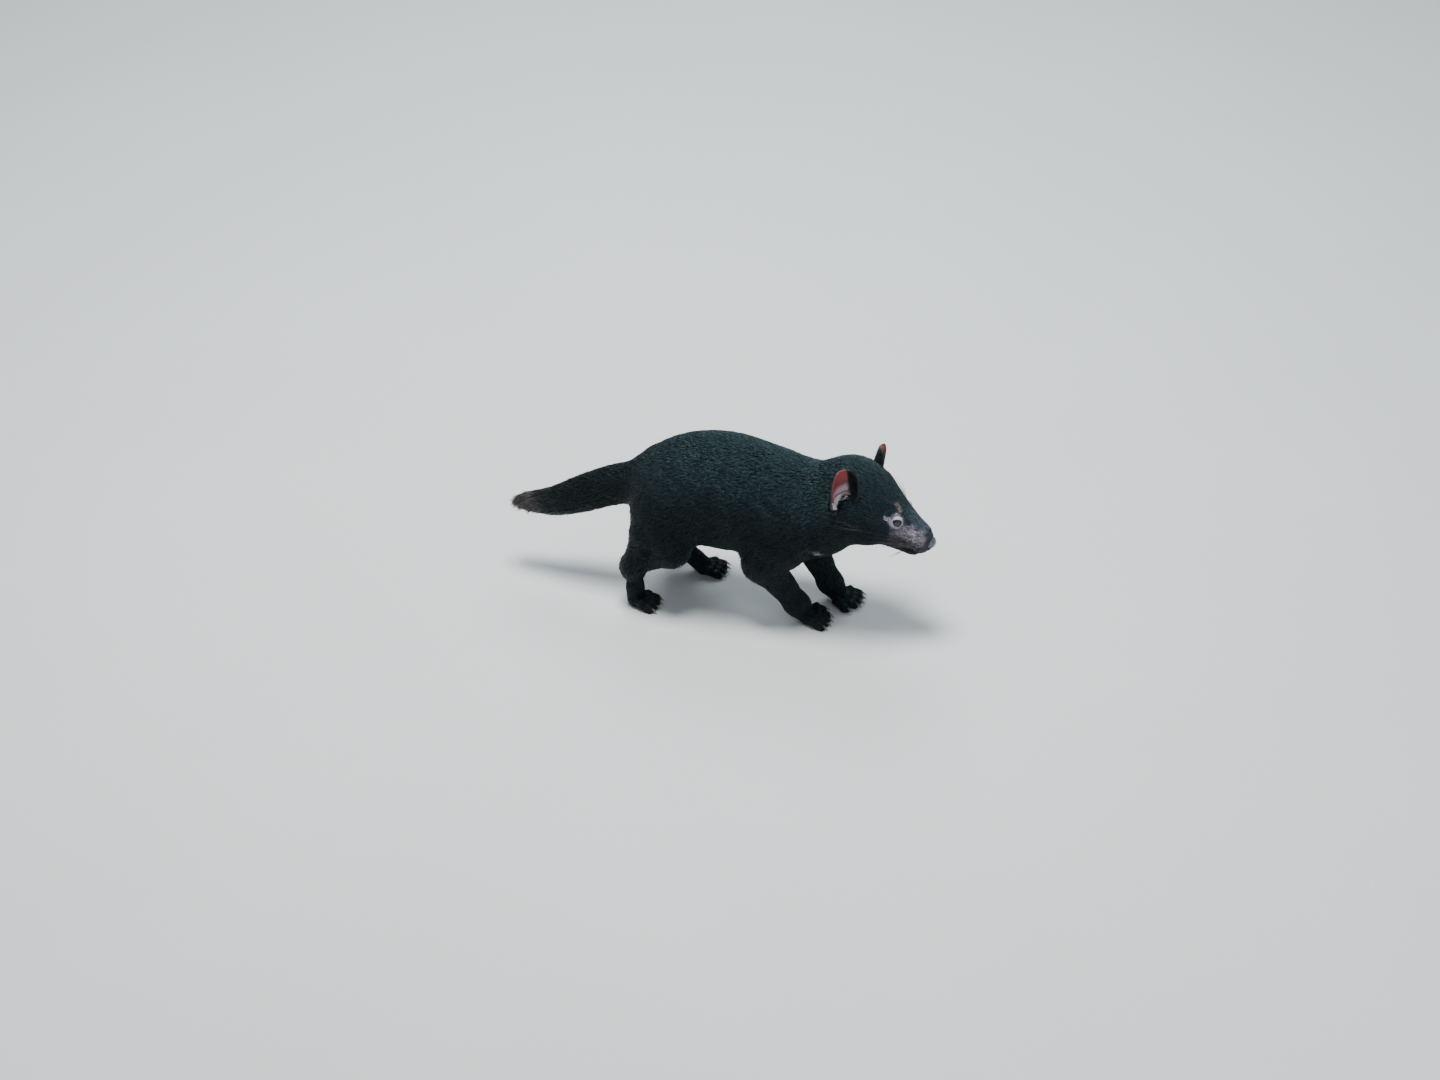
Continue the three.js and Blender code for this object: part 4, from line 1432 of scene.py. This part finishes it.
@dataclass
class Skin:
    """The one skin over the whole animal."""

    body_step: float = 2.2
    head_step: float = 1.05
    side_step: float = 1.3

    def build(self) -> Surface:
        """Meshes the skin's field and dresses it.

        Returns:
            The skin's surface, which the coat roots in.
        """
        xs = spaced((-312, 146, self.body_step), (146, 306, self.head_step))
        ys = spaced((-92, 92, self.side_step))
        zs = spaced((-4, 34, 1.15), (34, 112, 2.0), (112, 276, 1.25))
        boxes = []
        for ear in EARS:
            root, up, *_ = ear.axes()
            tip = root + up * ear.length
            boxes.append((np.minimum(root, tip) - point(22, 22, 2), np.maximum(root, tip) + point(22, 22, 5)))
        surface = surface_of(skin_form, xs, ys, zs, 4, boxes)
        colours, fur = MARKINGS.at(surface.points)
        # The skin is made a quarter darker where fur covers it.
        darker_under_fur = colours * (1 - 0.25 * fur[:, None])
        uv = unwrap_faces(surface)
        made = mesh_object("skin", surface.points, surface.faces, SKIN, darker_under_fur, uv)
        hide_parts(*FLESH)
        return surface


# A tuft is a closed spike with two rings of three corners and a tip. Each ring has its share of the tuft's
# length, height and width.
TUFT_RINGS = ((-0.02, -0.12, 0.75), (0.42, 0.8, 1.0))
TUFT_TIP_RISE = 0.92
TUFT_FACES = np.array([
    (0, 1, 4), (0, 4, 3), (1, 2, 5), (1, 5, 4), (2, 0, 3), (2, 3, 5),
    (3, 4, 6), (4, 5, 6), (5, 3, 6), (0, 2, 1),
])
# TUFT_SHADE darkens each tuft towards its root, painted shade deep in the coat, and lightens its tip.
TUFT_SHADE = np.array([0.35, 0.35, 0.35, 1.0, 1.0, 1.0, 1.5])
TUFT_SPOTS = np.array([(0, 0), (0.5, 0), (1, 0), (0, 0.5), (0.5, 0.5), (1, 0.5), (0.5, 1)])


@dataclass
class Coat:
    """Short fur in fine tufts that lie along the body."""

    tufts: int = 142_000
    most_per_piece: int = 19_000
    seed: int = 7
    clearance: float = 0.25
    ear_share: float = 0.6
    length: float = 10.5
    tail_extra: float = 4.5
    width: float = 1.35
    least_fur: float = 0.15
    patch: float = 0.003  # the size of a tuft's spot on the map

    def lie(self, p: Array, normals: Array) -> Array:
        """Returns the direction in which the hair lies at each place, along the skin.

        Args:
            p: Places in millimetres of the body's frame.
            normals: The skin's normals there.

        Returns:
            Directions of length 1.
        """
        q = HEAD.inward(p)
        flow = np.tile(point(-1, 0, -0.34), (len(p), 1))
        flow[:, 2] -= 0.25 * smooth_step(60, 140, 300 - np.abs(p[:, 0])) * smooth_step(200, 120, p[:, 2])
        away = p - HEAD.outward(point(118, 0, -8))
        away /= np.maximum(np.linalg.norm(away, axis=1, keepdims=True), 1e-6)
        share = smooth_step(-30, 30, q[:, 0])[:, None]
        flow = flow * (1 - share) + away * share
        tail = smooth_step(-110, -150, p[:, 0])[:, None]
        flow = flow * (1 - tail) + point(-0.9, 0, -0.42) * tail
        for leg in LEGS:
            line = [leg.middle, leg.ankle, leg.ball]
            on = smooth_step(42, 24, along_line(p, line)) * (p[:, 1] * leg.side.value > 0)
            on = on * smooth_step(118, 84, p[:, 2])
            upper, lower = leg.ankle - leg.middle, leg.ball - leg.ankle
            upper, lower = upper / np.linalg.norm(upper), lower / np.linalg.norm(lower)
            low = smooth_step(leg.ankle[2] + 14, leg.ankle[2] - 8, p[:, 2])[:, None]
            down = upper * (1 - low) + lower * low
            toes = smooth_step(20, 12, p[:, 2])[:, None]
            down = down * (1 - toes) + point(0.95, 0, -0.3) * toes
            flow = flow * (1 - on[:, None]) + down * on[:, None]
        for ear in EARS:
            t, angle, roll, off = ear.sheet(p)
            on = ((t > 0.15) & (t < 1.1) & (np.abs(off) < 4.5) & (np.abs(angle) < roll + 0.3))[:, None]
            flow = np.where(on, ear.axes()[1] + point(-0.2, 0, 0), flow)
        turn = np.sin(p[:, 0] * 0.11 + p[:, 2] * 0.07) * 0.12 + np.sin(p[:, 1] * 0.13 - p[:, 2] * 0.09) * 0.12
        flow = flow + np.cross(normals, flow) * turn[:, None]
        flow -= normals * (flow * normals).sum(1, keepdims=True)
        return flow / np.maximum(np.linalg.norm(flow, axis=1, keepdims=True), 1e-6)

    def build(self, skin: Surface) -> None:
        """Roots tufts all over the furred skin and makes them as joined meshes.

        Args:
            skin: The skin that they root in.
        """
        rng = np.random.default_rng(self.seed)
        normals = skin.normals()
        a, b, c, e = (skin.points[skin.faces[:, i]] for i in range(4))
        area = 0.5 * np.linalg.norm(np.cross(c - a, e - b), axis=1)
        centre = (a + b + c + e) / 4
        _, fur = MARKINGS.at(centre)
        q = HEAD.inward(centre)
        face = smooth_step(-10, 60, q[:, 0]) * (centre[:, 2] > 100)
        small = np.maximum(face, 0.8 * smooth_step(40, 14, centre[:, 2]))
        on_ear = np.isin(region_of(centre), (Region.EAR_LEFT.value, Region.EAR_RIGHT.value))
        small = np.where(on_ear, 1.0, small)
        weight = area * np.where(fur > self.least_fur, 1, 0) * (1 + 1.7 * small) * (0.4 + 0.6 * fur)
        total = np.cumsum(weight)
        picks = (np.arange(self.tufts) + rng.random(self.tufts)) / self.tufts * total[-1]
        chosen = np.minimum(np.searchsorted(total, picks), len(area) - 1)
        s, t = rng.random((2, self.tufts))
        corners = skin.faces[chosen]

        def over(values: Array) -> Array:
            """Reads values of the skin's points at the roots."""
            v0, v1, v2, v3 = (values[corners[:, i]] for i in range(4))
            s1, t1 = s[:, None], t[:, None]
            return (v0 * (1 - s1) + v1 * s1) * (1 - t1) + (v3 * (1 - s1) + v2 * s1) * t1

        root, normal = over(skin.points), over(normals)
        normal /= np.maximum(np.linalg.norm(normal, axis=1, keepdims=True), 1e-6)
        size = (1 - 0.62 * small[chosen]) * np.where(on_ear[chosen], self.ear_share, 1.0)
        tail = smooth_step(-130, -190, root[:, 0])
        depth = coat_depth(root)
        ahead = self.lie(root, normal)
        spread = rng.normal(0, 0.22, self.tufts)[:, None]
        ahead = ahead + np.cross(normal, ahead) * spread
        length = (self.length + self.tail_extra * tail) * size * rng.uniform(0.7, 1.3, self.tufts)
        width = self.width * (0.5 + 0.5 * size) * rng.uniform(0.7, 1.25, self.tufts)
        height = np.minimum(depth * 0.80, length * 0.50) * rng.uniform(0.35, 1.15, self.tufts)
        side = np.cross(ahead, normal)
        colour, fur_here = MARKINGS.at(root)
        clump = np.sin(root[:, 0] * 0.9 + np.sin(root[:, 2] * 0.5) * 2)
        clump = clump * np.sin(root[:, 2] * 1.1 + root[:, 1] * 0.7)
        tone = rng.uniform(0.35, 1.75, self.tufts) * (1 + 0.4 * clump * fur_here)
        colour = colour * np.maximum(tone, 0.3)[:, None]
        pieces = region_of(root)
        uv = unwrap(root, pieces)
        shape = (root, ahead, normal, side, length, width, height)
        for region in Region:
            members = np.flatnonzero(pieces == region.value)
            if not len(members):
                continue
            parts = math.ceil(len(members) / self.most_per_piece)
            for i, group in enumerate(np.array_split(members[np.argsort(root[members, 0])], parts)):
                name = f"coat_{region.name.lower()}_{i + 1}"
                self.piece(name, [x[group] for x in shape], colour[group], uv[group])

    def piece(self, name: str, shape: list[Array], colour: Array, spot: Array) -> None:
        """Makes one piece of the coat.

        Args:
            name: Its name.
            shape: The tufts' roots, directions, normals, sides, lengths, widths and heights.
            colour: The tufts' colours.
            spot: Their roots' places on the map.
        """
        root, ahead, normal, side, length, width, height = shape
        n = len(root)
        rings = []
        for along, up, wide in TUFT_RINGS:
            middle = root + ahead * (length * along)[:, None] + normal * (height * up)[:, None]
            w = (width * wide)[:, None]
            rings += [middle - side * w * 0.5, middle + normal * w * 0.34, middle + side * w * 0.5]
        tip = root + ahead * length[:, None] + normal * (height * TUFT_TIP_RISE)[:, None]
        points = np.stack([*rings, tip], 1)
        points[:, :, 2] = np.maximum(points[:, :, 2], self.clearance)
        corners = len(TUFT_SHADE)
        every = (TUFT_FACES[None] + (np.arange(n) * corners)[:, None, None]).reshape(-1, 3)
        tints = (colour[:, None] * TUFT_SHADE[None, :, None]).reshape(-1, 3)
        patch = TUFT_SPOTS * self.patch - self.patch / 2
        spots = np.clip(spot[:, None] + patch[None], 0.0005, 0.9995).reshape(-1, 2)
        mesh_object(name, points.reshape(-1, 3), every, COAT, tints, spots[every])


@dataclass
class Eyes:
    """The two eyeballs, with a slightly bulging cornea."""

    rings: int = 28
    around: int = 40
    pupil: tuple = (0.002, 0.002, 0.003)
    iris: tuple = (0.014, 0.011, 0.011)
    white: tuple = (0.05, 0.04, 0.045)

    def build(self) -> None:
        """Makes both eyes."""
        for side in Side:
            s = side.value
            gaze = EYE_LOOKS * point(1, s, 1)
            gaze = gaze / np.linalg.norm(gaze)
            other = np.cross(gaze, point(0, 0, 1))
            other /= np.linalg.norm(other)
            third = np.cross(gaze, other)
            t = np.linspace(0, np.pi, self.rings + 1)
            radius = EYE_RADIUS * (1 + 0.035 * bump(t, 0.55)) - 0.05
            lines = (np.cos(t) * radius)[:, None] * gaze
            across = np.sin(t) * radius
            angles = np.arange(self.around) * 2 * np.pi / self.around
            rim = np.cos(angles)[:, None] * other + np.sin(angles)[:, None] * third
            points = (lines[1:-1, None] + across[1:-1, None, None] * rim).reshape(-1, 3)
            points = np.concatenate([points, lines[:1], lines[-1:]])
            faces = []
            n, m = self.around, self.rings - 1
            for j in range(n):
                k = (j + 1) % n
                faces.append((n * m, j, k))
                faces.append((n * m + 1, (m - 1) * n + k, (m - 1) * n + j))
                for i in range(m - 1):
                    faces.append((i * n + j, (i + 1) * n + j, (i + 1) * n + k))
                    faces.append((i * n + j, (i + 1) * n + k, i * n + k))
            turn = np.arccos(np.clip(points @ gaze / np.linalg.norm(points, axis=1), -1, 1))
            share = smooth_step(0.30, 0.36, turn)[:, None]
            edge = smooth_step(1.15, 1.3, turn)[:, None]
            inner = np.array(self.pupil) * (1 - share) + np.array(self.iris) * share
            colour = inner * (1 - edge) + np.array(self.white) * edge
            centre = HEAD.outward(EYE_AT * point(1, s, 1))
            turned = np.array(faces)[:, ::-1]
            made = mesh_object(f"eyeball_{side.name.lower()}", points + centre, turned, EYE, colour)
            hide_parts(f"eye_{side.name.lower()}")


@dataclass
class Nose:
    """The bare nose pad."""

    step: float = 0.5

    def build(self) -> None:
        """Makes the nose."""
        low, high = NOSE_AT - NOSE_RADII - 1.5, NOSE_AT + NOSE_RADII + 1.5
        axes = [spaced((low[k], high[k], self.step)) for k in range(3)]
        surface = surface_of(nose_form, *axes, coarse=2)
        made = mesh_object("nose_pad", HEAD.outward(surface.points), surface.faces, NOSE)
        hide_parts("nose")


@dataclass
class Claws:
    """Long curved claws, one to a toe."""

    sides: int = 12
    steps: int = 10
    root_colour: tuple = (0.06, 0.048, 0.040)
    tip_colour: tuple = (0.30, 0.26, 0.21)

    def build(self) -> None:
        """Makes every claw."""
        for leg in LEGS:
            for i, toe in enumerate(toes_of(leg)):
                line = spline(toe.claw, self.steps)
                t = np.linspace(0, 1, self.steps)
                radii = (CLAW_RADIUS - 0.12) * (1 - 0.86 * t**1.3)
                points, faces = tubes(line[None], radii[None], self.sides)
                share = np.repeat(t, self.sides)
                share = np.concatenate([[0], share, [1]])[:, None]
                colour = np.array(self.root_colour) * (1 - share) + np.array(self.tip_colour) * share
                label = f"{leg.name}_{i + 1}"
                made = mesh_object(f"horn_{label}", points, faces, CLAW, colour)
                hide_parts(f"claw_{label}")


@dataclass(frozen=True)
class WhiskerGroup:
    """Whiskers that spring from one spot of the left side of the head, in the head's frame."""

    root: Array
    count: int
    spread: float
    way: Array
    length: float


WHISKER_GROUPS = [
    WhiskerGroup(point(98, 13, -15), 7, 4.0, point(-0.78, 0.60, -0.05), 56),
    WhiskerGroup(point(90, 17, -15), 9, 4.5, point(-0.84, 0.52, -0.02), 74),
    WhiskerGroup(point(82, 20, -17), 8, 4.5, point(-0.88, 0.44, -0.06), 70),
    WhiskerGroup(point(56, 17, 20), 4, 2.5, point(-0.72, 0.42, 0.52), 34),
    WhiskerGroup(point(34, 46, -16), 6, 4.0, point(-0.88, 0.44, -0.02), 46),
    WhiskerGroup(point(88, 8, -40), 4, 4.0, point(-0.5, 0.35, -0.75), 20),
]


@dataclass
class Whiskers:
    """Stiff dark hairs on the muzzle, above the eyes, on the cheeks and chin."""

    seed: int = 5
    steps: int = 9
    sides: int = 5
    radius: float = 0.34
    taper: float = 0.85
    wander: float = 0.13
    colour: tuple = (0.030, 0.028, 0.030)

    def build(self) -> None:
        """Makes the whiskers of both sides."""
        rng = np.random.default_rng(self.seed)
        lines, radii = [], []
        for side in Side:
            for group in WHISKER_GROUPS:
                for _ in range(group.count):
                    start = group.root + rng.uniform(-group.spread, group.spread, 3) * point(1, 0.2, 0.8)
                    start = self.on_skin(start * point(1, side.value, 1))
                    aim = group.way + rng.normal(0, self.wander, 3)
                    aim = aim / np.linalg.norm(aim) * point(1, side.value, 1)
                    reach = group.length * rng.uniform(0.7, 1.12)
                    t = np.linspace(0, 1, self.steps)[:, None]
                    sag = point(-0.16, -0.10 * side.value, -0.14) * reach
                    lines.append(HEAD.outward(start + aim * reach * t + sag * t**2))
                    radii.append(self.radius * (1 - self.taper * t[:, 0]))
        points, faces = tubes(np.array(lines), np.array(radii), self.sides)
        colour = np.tile(np.array(self.colour), (len(points), 1))
        made = mesh_object("whiskers", points, faces, WHISKER, colour)
        shader = made.data.materials[0].node_tree.nodes["Principled BSDF"]
        shader.inputs["Base Color"].default_value = (*self.colour, 1)

    def on_skin(self, q: Array) -> Array:
        """Moves a place in the head's frame onto the skin.

        Args:
            q: The place.

        Returns:
            The nearest place on the skin, in the head's frame.
        """
        p = HEAD.outward(q)[None]
        for _ in range(4):
            d = skin_form(p)
            slope = np.array([(skin_form(p + step) - d)[0] / 0.1 for step in np.eye(3) * 0.1])
            p = p - slope * np.clip(d[0], -6, 6) / max(slope @ slope, 0.2)
        return HEAD.inward(p)[0]


@dataclass(frozen=True)
class Lamp:
    """A round soft light, in metres and watts."""

    name: str
    place: tuple
    size: float
    power: float
    colour: tuple


LAMPS = [
    Lamp("Key", (-0.2, -0.1, 3.0), 1.2, 135, (0.96, 0.99, 1.0)),
    Lamp("Fill", (2.2, -1.7, 1.2), 1.6, 16, (0.90, 0.95, 1.0)),
    Lamp("Rim", (-0.5, 2.0, 2.0), 1.4, 34, (0.80, 0.94, 1.0)),
]


@dataclass
class Studio:
    """The plain floor, soft lights and the camera at the photograph's angle."""

    azimuth: float = 15.0
    elevation: float = 33.0
    distance: float = 4533.0
    lens: float = 85.0
    floor_size: float = 14.0
    sky: tuple = (0.80, 0.91, 1.0)
    sky_strength: float = 0.42
    lit_point: tuple = (0, 0, 0.12)
    seen_point: Array = field(default_factory=lambda: point(-17.7, 0, 87.3))

    def build(self) -> None:
        """Makes the floor, lights, world and camera."""
        bpy.ops.mesh.primitive_plane_add(size=self.floor_size, location=(0, 0, 0))
        floor = bpy.context.object
        floor.name = "Floor"
        floor.data.materials.append(FLOOR.material())
        world = bpy.data.worlds.new("Studio")
        bpy.context.scene.world = world
        world.use_nodes = True
        back = world.node_tree.nodes["Background"]
        back.inputs["Color"].default_value = (*self.sky, 1)
        back.inputs["Strength"].default_value = self.sky_strength
        for lamp in LAMPS:
            light = bpy.data.lights.new(lamp.name, "AREA")
            light.shape = "DISK"
            light.size = lamp.size
            light.energy = lamp.power
            light.color = lamp.colour
            made = bpy.data.objects.new(lamp.name, light)
            bpy.context.scene.collection.objects.link(made)
            made.location = lamp.place
            made.rotation_mode = "QUATERNION"
            ahead = Vector(self.lit_point) - Vector(lamp.place)
            made.rotation_quaternion = ahead.to_track_quat("-Z", "Y")
        self.camera()

    def camera(self) -> None:
        """Places the camera."""
        a, e = math.radians(self.azimuth), math.radians(self.elevation)
        back = Vector((math.sin(a) * math.cos(e), -math.cos(a) * math.cos(e), math.sin(e)))
        target = Vector(ROW.metres(self.seen_point))
        data = bpy.data.cameras.new("Camera")
        data.lens = self.lens
        data.clip_end = 100
        made = bpy.data.objects.new("Camera", data)
        bpy.context.scene.collection.objects.link(made)
        made.location = target + back * self.distance * MM
        made.rotation_mode = "QUATERNION"
        made.rotation_quaternion = (-back).to_track_quat("-Z", "Y")
        bpy.context.scene.camera = made


def main() -> None:
    """Builds the animal and its studio."""
    logging.basicConfig(level=logging.INFO, format="%(message)s")
    skin = Skin().build()
    Eyes().build()
    Nose().build()
    Claws().build()
    Whiskers().build()
    Coat().build(skin)
    Studio().build()


if __name__ == "__main__":
    main()
